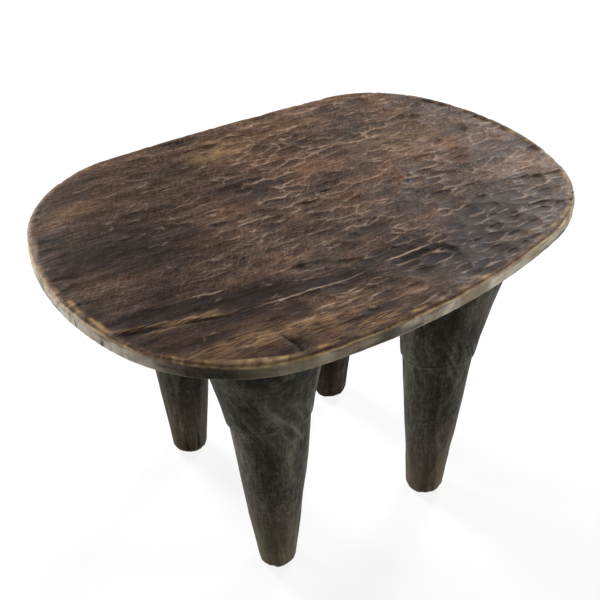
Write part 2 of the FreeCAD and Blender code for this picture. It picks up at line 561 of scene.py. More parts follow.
@dataclass(frozen=True)
class Strokes:
    """The net of sharp crests that the last, light tool strokes left between them. Sizes are in mm.

    Attributes:
        length: a stroke's length along the grain.
        width: its width.
        depth: how deep it goes.
        line: a crest's share of the stroke's width.
        colour: a rubbed crest, in sRGB hex.
        rubbed: how far a crest turns to that colour.
        shade: how far the wood under a crest turns to the dark tone, as painted shade.
    """

    length: float
    width: float
    depth: float
    line: float
    colour: str
    rubbed: float
    shade: float


@dataclass(frozen=True)
class WoodFinish:
    """A worked wood surface: streaked by its grain, then changed by tools, handling and weather.

    Attributes:
        name: the wood and how its surface was made.
        grain: the way that the grain runs.
        dark: the darkest marks, in sRGB hex.
        middle: the main colour.
        light: the palest marks.
        drifts: the slow changes of colour.
        patterns: the small marks, from first to last.
        strokes: the last tool strokes.
        mottle_size: the size of small mottling, in mm.
        roughness: the bare surface's roughness.
        specular: the specular level, 0.5 for a sealed surface.
        layers: the changes over it, from first to last.
        streak: the fine streaks that break some of those changes up.
        ior: the refractive index of wood and its oil.
    """

    name: str
    grain: Grain
    dark: str
    middle: str
    light: str
    drifts: tuple[Drift, ...]
    patterns: tuple[Pattern, ...]
    strokes: Strokes
    mottle_size: float
    roughness: float
    specular: float
    layers: tuple[Layer, ...]
    streak: Pattern = Pattern(15.0, 1.4)
    ior: float = 1.5

    def material(self) -> bpy.types.Material:
        """Builds the material.

        Returns:
            The new material.
        """
        material = bpy.data.materials.new(self.name)
        material.use_nodes = True
        tree = material.node_tree
        tree.nodes.clear()
        place = add_node(tree, "ShaderNodeTexCoord").outputs["Object"]
        mottle = self._noise(tree, place, Pattern(1.8 * self.mottle_size, self.mottle_size, detail=4.0))
        colour, height = self._grain(tree, place)
        colour, height = self._stroke(tree, place, mottle.outputs["Fac"], colour, height)
        colour, roughness = self._change(tree, place, mottle.outputs["Fac"], colour)
        bump = add_node(tree, "ShaderNodeBump", inputs={"Strength": 1.0, "Distance": MM, "Height": height})
        shader = add_node(
            tree,
            "ShaderNodeBsdfPrincipled",
            inputs={
                "Base Color": colour,
                "Roughness": roughness,
                "IOR": self.ior,
                "Specular IOR Level": self.specular,
                "Normal": bump.outputs["Normal"],
            },
        )
        add_node(tree, "ShaderNodeOutputMaterial", inputs={"Surface": shader.outputs["BSDF"]})
        return material

    def _scale(self, length: float, width: float) -> tuple[float, float, float]:
        """Gives the pattern scale of marks of that size along the grain and across it, in mm."""
        steps = [1.0 / (width * MM)] * 3
        steps[self.grain.value] = 1.0 / (length * MM)
        return (steps[0], steps[1], steps[2])

    def _noise(
        self, tree: bpy.types.NodeTree, place: bpy.types.NodeSocket, pattern: Pattern
    ) -> bpy.types.Node:
        """Adds the noise that a pattern of marks is drawn from.

        Args:
            tree: the material's nodes.
            place: the place on the piece.
            pattern: the marks.

        Returns:
            The noise node.
        """
        turn = math.radians(pattern.turn)
        rotation = (turn, turn, 0.0) if self.grain is Grain.UPRIGHT else (0.0, 0.0, turn)
        turned = add_node(tree, "ShaderNodeMapping", inputs={"Vector": place, "Rotation": rotation})
        scaled = add_node(
            tree,
            "ShaderNodeMapping",
            inputs={
                "Vector": turned.outputs["Vector"],
                "Scale": self._scale(pattern.length, pattern.width),
            },
        )
        return add_node(
            tree,
            "ShaderNodeTexNoise",
            inputs={
                "Vector": scaled.outputs["Vector"],
                "Scale": 1.0,
                "Detail": pattern.detail,
                "Roughness": 0.62,
            },
        )

    def _tint(
        self,
        tree: bpy.types.NodeTree,
        colour: Any,
        value: bpy.types.NodeSocket,
        span: tuple[float, float],
        share: float,
        code: str,
    ) -> bpy.types.NodeSocket:
        """Turns a colour towards another as a pattern goes through a span of values.

        Args:
            tree: the material's nodes.
            colour: the colour so far.
            value: the pattern.
            span: the values at which the change starts and is full.
            share: how far the colour turns, from 0 to 1.
            code: what it turns towards, in sRGB hex.

        Returns:
            The new colour.
        """
        amount = add_node(
            tree,
            "ShaderNodeMapRange",
            inputs={
                "Value": value,
                "From Min": span[0],
                "From Max": span[1],
                "To Min": 0.0,
                "To Max": share,
            },
        )
        mixed = add_node(
            tree,
            "ShaderNodeMix",
            {"data_type": "RGBA"},
            {0: amount.outputs["Result"], 6: colour, 7: to_linear(code)},
        )
        return mixed.outputs[2]

    def _grain(
        self, tree: bpy.types.NodeTree, place: bpy.types.NodeSocket
    ) -> tuple[bpy.types.NodeSocket, Any]:
        """Draws the wood's own colour and relief.

        Args:
            tree: the material's nodes.
            place: the place on the piece.

        Returns:
            The colour, and the height in mm.
        """
        colour: Any = to_linear(self.middle)
        height: Any = 0.0
        for drift in self.drifts:
            noise = self._noise(tree, place, Pattern(1.6 * drift.size, drift.size, detail=2.0))
            colour = self._tint(tree, colour, noise.outputs["Fac"], (0.44, 0.60), drift.share, drift.colour)
        for pattern in self.patterns:
            value = self._noise(tree, place, pattern).outputs["Fac"]
            low = 0.5 - pattern.start
            high = 0.5 + pattern.start
            colour = self._tint(tree, colour, value, (low, low - 0.14), pattern.dark, self.dark)
            colour = self._tint(tree, colour, value, (high, high + 0.15), pattern.light, self.light)
            raised = add_node(
                tree,
                "ShaderNodeMath",
                {"operation": "MULTIPLY_ADD"},
                {0: value, 1: pattern.relief, 2: height},
            )
            height = raised.outputs["Value"]
        return colour, height

    def _stroke(
        self,
        tree: bpy.types.NodeTree,
        place: bpy.types.NodeSocket,
        mottle: bpy.types.NodeSocket,
        colour: bpy.types.NodeSocket,
        height: bpy.types.NodeSocket,
    ) -> tuple[bpy.types.NodeSocket, bpy.types.NodeSocket]:
        """Draws the last tool strokes: hollows, with rubbed crests between them and shade under the crests.

        Args:
            tree: the material's nodes.
            place: the place on the piece.
            mottle: small mottling, which breaks the crests up.
            colour: the colour so far.
            height: the height so far, in mm.

        Returns:
            The new colour and height.
        """
        strokes = self.strokes
        worked = add_node(tree, "ShaderNodeAttribute", {"attribute_name": "worked"})
        scaled = add_node(
            tree,
            "ShaderNodeMapping",
            inputs={"Vector": place, "Scale": self._scale(strokes.length, strokes.width)},
        )
        wander = self._noise(tree, place, Pattern(1.2 * strokes.length, 1.2 * strokes.width, detail=1.0))
        wandered = add_node(
            tree,
            "ShaderNodeVectorMath",
            {"operation": "MULTIPLY_ADD"},
            {0: wander.outputs["Color"], 1: (0.7, 0.7, 0.7), 2: scaled.outputs["Vector"]},
        )
        # The painted shade lies a tenth of a stroke's length below its crest on an upright face, and a fifth
        # of its width in front of it on a level one.
        under = (0.0, 0.0, 0.10) if self.grain is Grain.UPRIGHT else (0.0, 0.20, 0.0)
        changes = (
            (under, 1.5 * strokes.line, self.dark, strokes.shade),
            ((0.0, 0.0, 0.0), strokes.line, strokes.colour, strokes.rubbed),
        )
        for shift, line, code, share in changes:
            moved = add_node(
                tree,
                "ShaderNodeVectorMath",
                {"operation": "ADD"},
                {0: wandered.outputs["Vector"], 1: shift},
            )
            net = add_node(
                tree,
                "ShaderNodeTexVoronoi",
                {"feature": "DISTANCE_TO_EDGE"},
                {"Vector": moved.outputs["Vector"], "Scale": 1.0},
            )
            crest = add_node(
                tree,
                "ShaderNodeMapRange",
                inputs={"Value": net.outputs["Distance"], "From Min": line, "From Max": 0.0},
            )
            broken = add_node(
                tree,
                "ShaderNodeMapRange",
                inputs={"Value": mottle, "From Min": 0.45, "From Max": 0.60},
            )
            kept = add_node(
                tree,
                "ShaderNodeMath",
                {"operation": "MULTIPLY"},
                {0: crest.outputs["Result"], 1: broken.outputs["Result"]},
            )
            shown = add_node(
                tree,
                "ShaderNodeMath",
                {"operation": "MULTIPLY"},
                {0: kept.outputs["Value"], 1: worked.outputs["Fac"]},
            )
            colour = self._tint(tree, colour, shown.outputs["Value"], (0.0, 1.0), share, code)
        hollow = add_node(
            tree,
            "ShaderNodeMapRange",
            inputs={
                "Value": net.outputs["Distance"],
                "From Min": 0.0,
                "From Max": 0.4,
                "To Min": strokes.depth,
                "To Max": 0.0,
            },
        )
        raised = add_node(
            tree,
            "ShaderNodeMath",
            {"operation": "MULTIPLY_ADD"},
            {0: hollow.outputs["Result"], 1: worked.outputs["Fac"], 2: height},
        )
        return colour, raised.outputs["Value"]

    def _change(
        self,
        tree: bpy.types.NodeTree,
        place: bpy.types.NodeSocket,
        mottle: bpy.types.NodeSocket,
        colour: bpy.types.NodeSocket,
    ) -> tuple[bpy.types.NodeSocket, bpy.types.NodeSocket]:
        """Lays the changes over the wood, each where its mask is.

        Args:
            tree: the material's nodes.
            place: the place on the piece.
            mottle: small mottling, which breaks the changes up.
            colour: the colour so far.

        Returns:
            The new colour, and the roughness.
        """
        roughness = add_node(
            tree,
            "ShaderNodeMapRange",
            inputs={
                "Value": mottle,
                "From Min": 0.3,
                "From Max": 0.7,
                "To Min": self.roughness - 0.07,
                "To Max": self.roughness + 0.09,
            },
        ).outputs["Result"]
        streak = self._noise(tree, place, self.streak).outputs["Fac"]
        for layer in self.layers:
            mask = add_node(tree, "ShaderNodeAttribute", {"attribute_name": layer.mask})
            shown = add_node(
                tree,
                "ShaderNodeMapRange",
                inputs={"Value": mask.outputs["Fac"], "From Min": layer.start, "From Max": 1.0},
            )
            patchy = add_node(
                tree,
                "ShaderNodeMapRange",
                inputs={
                    "Value": streak if layer.along else mottle,
                    "From Min": 0.47 if layer.along else 0.36,
                    "From Max": 0.57,
                    "To Min": layer.share * (1.0 - layer.broken),
                    "To Max": layer.share,
                },
            )
            amount = add_node(
                tree,
                "ShaderNodeMath",
                {"operation": "MULTIPLY", "use_clamp": True},
                {0: shown.outputs["Result"], 1: patchy.outputs["Result"]},
            ).outputs["Value"]
            colour = add_node(
                tree,
                "ShaderNodeMix",
                {"data_type": "RGBA"},
                {0: amount, 6: colour, 7: to_linear(layer.colour)},
            ).outputs[2]
            roughness = add_node(
                tree,
                "ShaderNodeMix",
                {"data_type": "FLOAT"},
                {0: amount, 2: roughness, 3: layer.roughness},
            ).outputs[0]
        return colour, roughness


# Old hardwood, hollowed with a small adze and polished by sitting. The crests between the bites are rubbed
# to tan, the hollows hold dark oil and dirt, and the rim is worn through to paler wood. It has the faint dry
# sheen of bare wood.
ADZED_HARDWOOD = WoodFinish(
    name="dark hardwood, adzed and polished by use",
    grain=Grain.LENGTHWISE,
    dark="#1c110c",
    middle="#684a3c",
    light="#a8886c",
    drifts=(
        Drift("#6e432a", 40.0, 0.60),
        Drift("#33272a", 56.0, 0.75),
        Drift("#301f17", 105.0, 0.60),
    ),
    patterns=(
        # Growth streaks along the grain.
        Pattern(34.0, 2.4, dark=0.45, light=0.32, relief=0.20, detail=4.0),
        # Fibres, each drawn as wide as a few of the real ones, so that they show.
        Pattern(6.0, 1.1, dark=0.40, light=0.32, relief=0.18),
        # Worn grain, broken into specks.
        Pattern(2.8, 1.5, dark=0.38, light=0.30, relief=0.12),
        # Scraping across the grain.
        Pattern(2.2, 12.0, dark=0.20, light=0.25, turn=35.0),
        # A real pore is about 0.2 mm wide, too fine to show, so it is drawn over four times as wide.
        Pattern(9.0, 0.9, dark=0.75, start=0.06, detail=2.0),
    ),
    strokes=Strokes(13.0, 6.0, 0.22, 0.070, "#b59878", 0.35, 0.35),
    mottle_size=6.0,
    roughness=0.50,
    specular=0.08,
    layers=(
        Layer("hollow", "#1a100c", 0.55, 0.35, 0.60),
        # Painted shade in the foot of each crest, on its front side.
        Layer("painted_crest_shade", "#120a07", 0.85, 0.25, 0.60, start=0.45),
        Layer("stain", "#1b1313", 0.93, 0.35, 0.58, along=True),
        Layer("aged", "#1a0c08", 0.95, 0.30, 0.50, along=True),
        Layer("streaky", "#9c7852", 0.85, 1.0, 0.45, along=True),
        Layer("crest", "#caab90", 0.95, 0.45, 0.45, start=0.63, along=True),
        Layer("warm", "#ad895f", 0.80, 0.90, 0.50, along=True),
        Layer("side", "#645f4d", 0.95, 0.25, 0.60),
        # Pale end grain, and a highlight painted along the rim's lower arris.
        Layer("end_grain_and_highlight", "#a8a193", 0.90, 0.60, 0.65),
        Layer("soot", "#150d09", 0.95, 0.30, 0.50),
        Layer("inner_wear", "#b08c5a", 0.95, 0.60, 0.50),
        Layer("wear", "#c4a87c", 0.95, 0.60, 0.50),
        Layer("crack", "#0d0806", 0.95, 0.0, 0.80),
    ),
)

# The same wood hewn along the grain, then smoked and handled until it is nearly black. The edges between the
# strokes are a little paler, the hips are painted blackest as shade under the seat, the back legs are painted
# darker, mostly as shade, the feet are worn to brown, and scratches run round the shoulder, with a highlight
# painted along the edge under its line. It has almost no sheen.
HEWN_HARDWOOD = WoodFinish(
    name="dark hardwood, hewn and smoothed by handling",
    grain=Grain.UPRIGHT,
    dark="#0b0c08",
    middle="#545146",
    light="#767264",
    drifts=(
        Drift("#35281f", 34.0, 0.50),
        Drift("#171915", 60.0, 0.65),
    ),
    patterns=(
        # Growth streaks along the grain.
        Pattern(60.0, 3.0, dark=0.40, light=0.20, relief=0.10, detail=4.0),
        # Fibres, each drawn as wide as a few of the real ones, so that they show.
        Pattern(8.0, 1.3, dark=0.30, light=0.28, relief=0.08),
        # Handled grain, broken into specks.
        Pattern(5.0, 3.0, dark=0.30, light=0.18, relief=0.08),
        # Scraping across the grain.
        Pattern(1.6, 15.0, dark=0.18, light=0.20, turn=14.0),
        # A real pore is about 0.2 mm wide, too fine to show, so it is drawn five times as wide.
        Pattern(14.0, 1.0, dark=0.70, start=0.06, detail=2.0),
    ),
    strokes=Strokes(30.0, 11.0, 0.45, 0.08, "#5b574e", 0.18, 0.35),
    mottle_size=7.0,
    roughness=0.40,
    specular=0.02,
    layers=(
        Layer("hollow", "#15140f", 0.60, 0.40, 0.48),
        Layer("ridge", "#757064", 0.30, 0.75, 0.36),
        # Scratches, and a highlight painted along the edge under the shoulder line.
        Layer("scratches_and_highlight", "#8a857a", 0.65, 0.70, 0.42),
        # Painted shade on the hips under the seat.
        Layer("hip", "#0a0a07", 0.92, 0.50, 0.45),
        Layer("foot", "#5c4f3e", 0.75, 0.60, 0.60),
        # Black-brown over a whole leg: darker wood, and on the back legs mostly painted shade.
        Layer("dark_wood_and_shade", "#110a06", 0.97, 0.20, 0.65),
        Layer("crack", "#0a0806", 0.95, 0.0, 0.80),
    ),
)


@dataclass
class Seat:
    """The broad dished slab with its thinned rim. Sizes are in mm.

    Attributes:
        node: the CAD node that it stands for.
        top: the height of the rim's top.
        dish_length: the dish's length.
        dish_width: the dish's width.
        dish_depth: the dish's depth in its middle.
        rim_height: the height of the upright side of the rim.
        worn_height: how far the top edge is worn down.
        worn_width: how far in it is worn; not used.
        bevel_width: how far in the underside slopes down from the rim.
        bevel_height: how far down it slopes.
        core_length: the length of the evenly gridded middle of the mesh.
        core_width: the width of that middle.
        core_columns: its columns.
        core_rows: its rows.
        ring_count: the rings of mesh from there to the rim.
        under_rings: the rings on the underside, on a grid twice as coarse.
        broad_bites: the first pass over the top.
        fine_bites: the second pass over the top.
        under_bites: the pass over the underside.
        sheet_half: half the length and width of the flat sheets that the faces are cut on.
        top_step: the distance between the points of the top's sheet.
        under_step: the distance between the points of the underside's sheet.
        top_inset: how far in from the outline the top's mesh ends and the rim's starts.
        finish: its wood.
        split: the points of a split, as x and y.
        marks: the dark lines of splits, checks and gouges.
        glints: highlights painted as thin pale lines.
        stains: dark patches.
        warm_spots: pale patches.
        front_grime: a darker area at the front right.
    """

    node: str = "seat"
    top: float = 338.0
    dish_length: float = 486.0
    dish_width: float = 346.0
    dish_depth: float = 5.0
    rim_height: float = 12.0
    worn_height: float = 3.0
    worn_width: float = 7.0
    bevel_width: float = 45.0
    bevel_height: float = 10.0
    core_length: float = 300.0
    core_width: float = 210.0
    core_columns: int = 130
    core_rows: int = 216
    ring_count: int = 60
    under_rings: int = 12
    broad_bites: Bites = Bites(80.0, 40.0, 1.20, 52.0, 25.0, 12.0, 5)
    fine_bites: Bites = Bites(36.0, 18.0, 1.55, 21.0, 10.0, 16.0, 11)
    under_bites: Bites = Bites(60.0, 30.0, 1.2, 36.0, 19.0, 20.0, 23)
    sheet_half: tuple[float, float] = (266.0, 195.0)
    top_step: float = 0.7
    under_step: float = 1.4
    top_inset: float = 10.0
    finish: WoodFinish = ADZED_HARDWOOD
    # A split at the near left, whose front side has sunk, and its straight run on along the grain.
    split: tuple[tuple[float, float], ...] = (
        (-236.0, -80.0),
        (-210.0, -87.0),
        (-181.0, -92.0),
        (-152.0, -103.0),
    )
    marks: tuple[Mark, ...] = (
        Mark(((-232.0, -86.0), (-208.0, -90.5), (-181.0, -96.0), (-147.0, -105.0)), 2.2, 0.9, 0.85),
        Mark(((-147.0, -107.0), (-100.0, -110.0), (-45.0, -114.0)), 1.6, 0.5, 0.35),
        Mark(((-129.0, -146.0), (-123.0, -166.0), (-122.0, -186.0)), 3.4, 1.6, 1.0),
        Mark(((-259.0, 15.0), (-243.0, 14.0), (-226.0, 10.0)), 1.9, 1.0, 0.9),
        Mark(((-258.0, -31.0), (-243.0, -28.0)), 1.8, 0.8, 0.8),
        Mark(((-240.0, 74.0), (-220.0, 70.0)), 1.7, 0.6, 0.6),
        Mark(((-246.0, 62.0), (-229.0, 56.0)), 1.7, 0.6, 0.6),
        Mark(((2.0, -113.0), (30.0, -112.0), (63.0, -114.0)), 9.0, 1.4, 0.55),
        Mark(((62.0, -118.0), (67.0, -130.0)), 6.0, 1.0, 0.35),
    )
    # Highlights painted as thin pale lines along the edges of the split and of a gouge at the front.
    glints: tuple[Mark, ...] = (
        Mark(((-143.0, -103.0), (-100.0, -106.0), (-45.0, -110.0), (10.0, -107.0)), 3.6, 0.0),
        Mark(((-174.0, -63.0), (-150.0, -69.0), (-126.0, -71.0)), 3.0, 0.0),
        Mark(((-2.0, -105.0), (30.0, -104.0), (66.0, -106.0)), 5.0, 0.0),
    )
    # Purple-grey patches where oil and soot have sunk in.
    stains: tuple[Patch, ...] = (
        Patch(-192.0, 30.0, 120.0, 64.0, 1.6),
        Patch(-236.0, 64.0, 50.0, 44.0, 1.1),
        Patch(-80.0, 126.0, 46.0, 40.0, 1.0),
        Patch(-38.0, 72.0, 74.0, 84.0, 1.0),
        Patch(-140.0, 22.0, 70.0, 44.0, 1.1),
        Patch(55.0, 40.0, 60.0, 18.0, 0.95),
        Patch(28.0, -58.0, 70.0, 30.0, 0.9),
        Patch(84.0, -40.0, 55.0, 30.0, 0.8),
        Patch(70.0, -122.0, 130.0, 46.0, 1.1),
        Patch(150.0, -100.0, 80.0, 50.0, 0.7),
        Patch(212.0, 4.0, 85.0, 40.0, 0.6),
        Patch(222.0, 122.0, 70.0, 50.0, 0.85),
        Patch(-120.0, -88.0, 90.0, 26.0, 1.5),
        Patch(-55.0, -100.0, 110.0, 16.0, 1.3),
        Patch(-176.0, -74.0, 80.0, 14.0, 1.3),
    )
    # Places rubbed through to warmer, paler wood.
    warm_spots: tuple[Patch, ...] = (
        Patch(-25.0, 143.0, 55.0, 40.0, 0.9),
        Patch(45.0, 150.0, 70.0, 20.0, 0.45),
        Patch(-150.0, -146.0, 110.0, 26.0, 0.75),
        Patch(-180.0, -93.0, 60.0, 9.0, 1.0),
        Patch(160.0, 62.0, 110.0, 60.0, 0.4),
        Patch(-190.0, 110.0, 60.0, 30.0, 0.35),
        Patch(150.0, -140.0, 90.0, 14.0, 0.35),
    )
    front_grime: Patch = Patch(90.0, -110.0, 200.0, 80.0, 0.6)

    def build(self) -> bpy.types.Object:
        """Builds the seat over its CAD node.

        Returns:
            The closed mesh, with the bites, splits and wear in its shape.
        """
        self._lay_out()
        self._work_top()
        self._work_underside()
        draft = Draft()
        last_top = self._build_face(draft, Side.TOP)
        last_rim = self._build_rim(draft, last_top)
        self._build_face(draft, Side.UNDERSIDE, last_rim)
        return draft.make("seat_carved", self.finish.material())

    def dress(self, piece: bpy.types.Object) -> None:
        """Puts the seat on the frame in place of its CAD node."""
        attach(piece, "root")
        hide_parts(self.node)

    def _lay_out(self) -> None:
        """Reads the outline from the CAD node, along the rays that the mesh's rings follow."""
        surface = node_surface(self.node)
        half_length = self.core_length / 2.0
        half_width = self.core_width / 2.0
        xs = np.linspace(-half_length, half_length, self.core_columns + 1)
        ys = np.linspace(-half_width, half_width, self.core_rows + 1)
        front = [(x, -half_width) for x in xs[:-1]]
        right = [(half_length, y) for y in ys[:-1]]
        back = [(x, half_width) for x in xs[:0:-1]]
        left = [(-half_length, y) for y in ys[:0:-1]]
        self.core_x = xs
        self.core_y = ys
        self.core_loop = np.array(front + right + back + left)
        middle = Vector((0.0, 0.0, self.top - self.worn_height - self.rim_height / 2.0))
        reaches = []
        for x, y in self.core_loop:
            way = Vector((x, y, 0.0)).normalized()
            hit, _, _, _ = surface.ray_cast(middle, way)
            reaches.append(hit.xy.length)
        reach = np.array(reaches)
        ways = self.core_loop / np.linalg.norm(self.core_loop, axis=1)[:, None]
        self.outline = ways * reach[:, None]
        run = np.roll(self.outline, -2, axis=0) - np.roll(self.outline, 2, axis=0)
        outward = np.stack([run[:, 1], -run[:, 0]], axis=1)
        self.outward = outward / np.linalg.norm(outward, axis=1)[:, None]

    def _inset(self, distance: np.ndarray | float) -> np.ndarray:
        """Gives the outline moved in by a distance, in mm."""
        return self.outline - self.outward * np.reshape(distance, (-1, 1))

    def _dish(self, x: np.ndarray, y: np.ndarray) -> np.ndarray:
        """Gives the depth of the dish at each point, in mm."""
        u = x / (self.dish_length / 2.0)
        v = y / (self.dish_width / 2.0)
        return self.dish_depth * np.clip(1.0 - u * u - v * v, 0.0, 1.0)

    def _blank(self, step: float) -> Sheet:
        """Gives an uncut sheet a little larger than the seat, with points that far apart in mm."""
        length, width = self.sheet_half
        return Sheet(-length, -width, 2.0 * length, 2.0 * width, step)

    def _work_top(self) -> None:
        """Cuts the top on a flat sheet: two passes of bites, grain furrows, splits and the sunk strip."""
        sheet = self._blank(self.top_step)
        x = sheet.along
        y = sheet.across
        # The bites are deep over the middle and right of the seat, and nearly rubbed away at the left.
        share = 0.45 + 0.55 * smooth_step(-185.0, -20.0, x + 26.0 * Unevenness(3).at(x / 60.0, y / 45.0))
        share = share * (0.82 + 0.18 * Unevenness(4).at(x / 38.0, y / 30.0))
        first = self._blank(self.top_step)
        self.broad_bites.work(first, share)
        self.fine_bites.work(sheet, share * (0.85 + 0.30 * Unevenness(15).at(x / 50.0, y / 22.0)))
        # The crests are rubbed pale only here and there, more so where the bites are deep.
        rubbed = np.clip(0.50 + 1.1 * Unevenness(6).at(x / 17.0, y / 9.0), 0.0, 1.0)
        streaks = Unevenness(7).at(x / 44.0, y / 1.9) * 0.6 + Unevenness(8).at(x / 24.0, y / 1.2) * 0.4
        streaky = 0.15 * smooth_step(80.0, 200.0, x)
        streaky = streaky + 0.80 * smooth_step(-108.0, -145.0, y) * smooth_step(40.0, -70.0, x)
        streaky = np.clip(streaky * (0.35 + 1.1 * Unevenness(16).at(x / 45.0, y / 9.0)), 0.0, 1.0)
        near = sheet.nearness(6.0) * smooth_step(0.02, 0.12, -sheet.cut / share)
        near = near - (0.13 + 0.45 * (1.0 - share)) * (1.0 - self._lengthwise(sheet.cut))
        # The edge of the tool is nicked and the grain tears, so no crest runs clean.
        torn_x = x + 3.0 * Unevenness(31).at(x / 8.0, y / 4.0)
        torn_y = y + 1.3 * Unevenness(32).at(x / 7.0, y / 4.0) + 0.7 * Unevenness(33).at(x / 3.0, y / 2.0)
        near = sheet.read(near, torn_x, torn_y)
        sheet.cut = sheet.read(sheet.cut, torn_x, torn_y)
        tone = sheet.read(sheet.tone, torn_x, torn_y) * share
        crest = near - 0.18 * (1.0 - rubbed) - 0.14 * (1.0 - share)
        # The painted highlights join the crests' pale colour.
        for glint in self.glints:
            crest = np.maximum(crest, glint.strength(x, y))
        # Shade is painted in the steep foot of each crest, on the side that faces the front.
        facing = smooth_step(0.0, 0.06, np.gradient(sheet.cut, sheet.step)[0])
        painted_crest_shade = near * facing * (0.55 + 0.45 * share)
        hollow = np.clip(-sheet.cut / (0.45 + 1.0 * share) - 0.45 + 0.75 * tone, 0.0, 1.0)
        furrow = 0.10 * (streaks - 0.8) + 0.35 * (Unevenness(9).at(x / 110.0, y / 9.0) - 1.0)
        swell = 0.55 * (Unevenness(10).at(x / 85.0, y / 55.0) - 1.0)
        crack = np.zeros_like(x)
        gash = np.zeros_like(x)
        for mark in self.marks:
            strength = mark.strength(x, y)
            crack = np.maximum(crack, mark.darkness * strength)
            gash = np.minimum(gash, -mark.depth * strength)
        xs = [point[0] for point in self.split]
        ys = [point[1] for point in self.split]
        behind = y - np.interp(x, xs, ys) + 1.5 * Unevenness(12).at(x / 9.0, y / 9.0)
        ends = smooth_step(xs[0] - 8.0, xs[0] + 8.0, x) * smooth_step(xs[-1] + 25.0, xs[-1] - 15.0, x)
        sunk = ends * smooth_step(1.2, -1.5, behind) * smooth_step(-34.0, -3.0, behind)
        lip = ends * np.exp(-(((behind - 2.2) / 1.9) ** 2))
        # Soot and oil lie in patches, and the left end and the front have darkened all over.
        stain = 0.34 * np.clip(Unevenness(13).at(x / 40.0, y / 22.0) + 0.15, 0.0, 1.0)
        aged = 0.58 * smooth_step(-20.0, -180.0, x) + 0.95 * smooth_step(-30.0, -135.0, y)
        aged = aged + self.front_grime.cover(x, y)
        aged = aged * (0.85 + 0.7 * Unevenness(17).at(x / 36.0, y / 16.0))
        for patch in self.stains:
            ragged = 9.0 * Unevenness(14).at(x / 14.0, y / 9.0)
            stain = np.maximum(stain, patch.cover(x + ragged, y + 0.6 * ragged))
        stain = stain * (0.95 + 0.3 * streaks)
        warm = np.zeros_like(x)
        for patch in self.warm_spots:
            warm = np.maximum(warm, patch.cover(x, y))
        self.top_sheet = sheet
        self.top_cut = first.cut + sheet.cut + furrow + swell + gash - 0.8 * sunk
        self.top_masks = {
            "worked": np.clip(1.5 * (share - 0.35), 0.15, 1.0),
            "aged": np.clip(aged, 0.0, 1.0),
            "streaky": streaky,
            "crest": np.clip(crest - 0.035 * np.clip(stain, 0.0, 1.0), 0.0, 1.0),
            "painted_crest_shade": np.clip(painted_crest_shade, 0.0, 1.0),
            "hollow": sheet.soften(hollow, 1, 1),
            "stain": np.clip(stain, 0.0, 1.0),
            "warm": np.clip(warm + 0.8 * lip, 0.0, 1.0),
            "crack": np.clip(1.25 * crack, 0.0, 1.0),
        }

    def _lengthwise(self, cut: np.ndarray) -> np.ndarray:
        """Gives 1 where a worked surface falls away across the grain and less where it falls along it."""
        slopes = []
        for slope in np.gradient(cut):
            steep = np.abs(slope)
            for axis in (0, 1):
                steep = steep + np.roll(steep, 1, axis) + np.roll(steep, -1, axis)
            slopes.append(steep)
        return slopes[0] / (slopes[0] + 1.6 * slopes[1] + 1e-6)

    def _work_underside(self) -> None:
        """Cuts the underside on a flat sheet, in one coarse pass."""
        sheet = self._blank(self.under_step)
        self.under_bites.work(sheet, np.ones_like(sheet.along))
        self.under_sheet = sheet
        self.under_cut = np.clip(sheet.cut, -1.4, 0.0)

    def _height(self, side: Side, x: np.ndarray, y: np.ndarray) -> np.ndarray:
        """Gives the height of a broad face at each point, in mm."""
        if side is Side.TOP:
            cut = self.top_sheet.read(self.top_cut, x, y)
            return self.top - self._dish(x, y) + np.minimum(cut, 0.0)
        floor = self.top - self.worn_height - self.rim_height - self.bevel_height
        return floor - self.under_sheet.read(self.under_cut, x, y)

    def _masks(self, side: Side, x: np.ndarray, y: np.ndarray) -> dict[str, np.ndarray]:
        """Gives the masks of a broad face at each point."""
        if side is Side.TOP:
            return {name: self.top_sheet.read(values, x, y) for name, values in self.top_masks.items()}
        cut = self.under_sheet.read(self.under_cut, x, y)
        return {
            "worked": np.full(x.shape, 0.5),
            "hollow": -0.6 * cut,
            "soot": np.full(x.shape, 0.35),
            "side": np.full(x.shape, 0.5),
        }

    def _bake_face(self, side: Side, points: np.ndarray) -> np.ndarray:
        """Gives the place of points of a broad face on the bake map."""
        if side is Side.TOP:
            return TOP_BAKE_MIDDLE + points[..., :2] / TOP_BAKE_SIZE
        return UNDER_BAKE_MIDDLE + points[..., :2] / UNDER_BAKE_SIZE

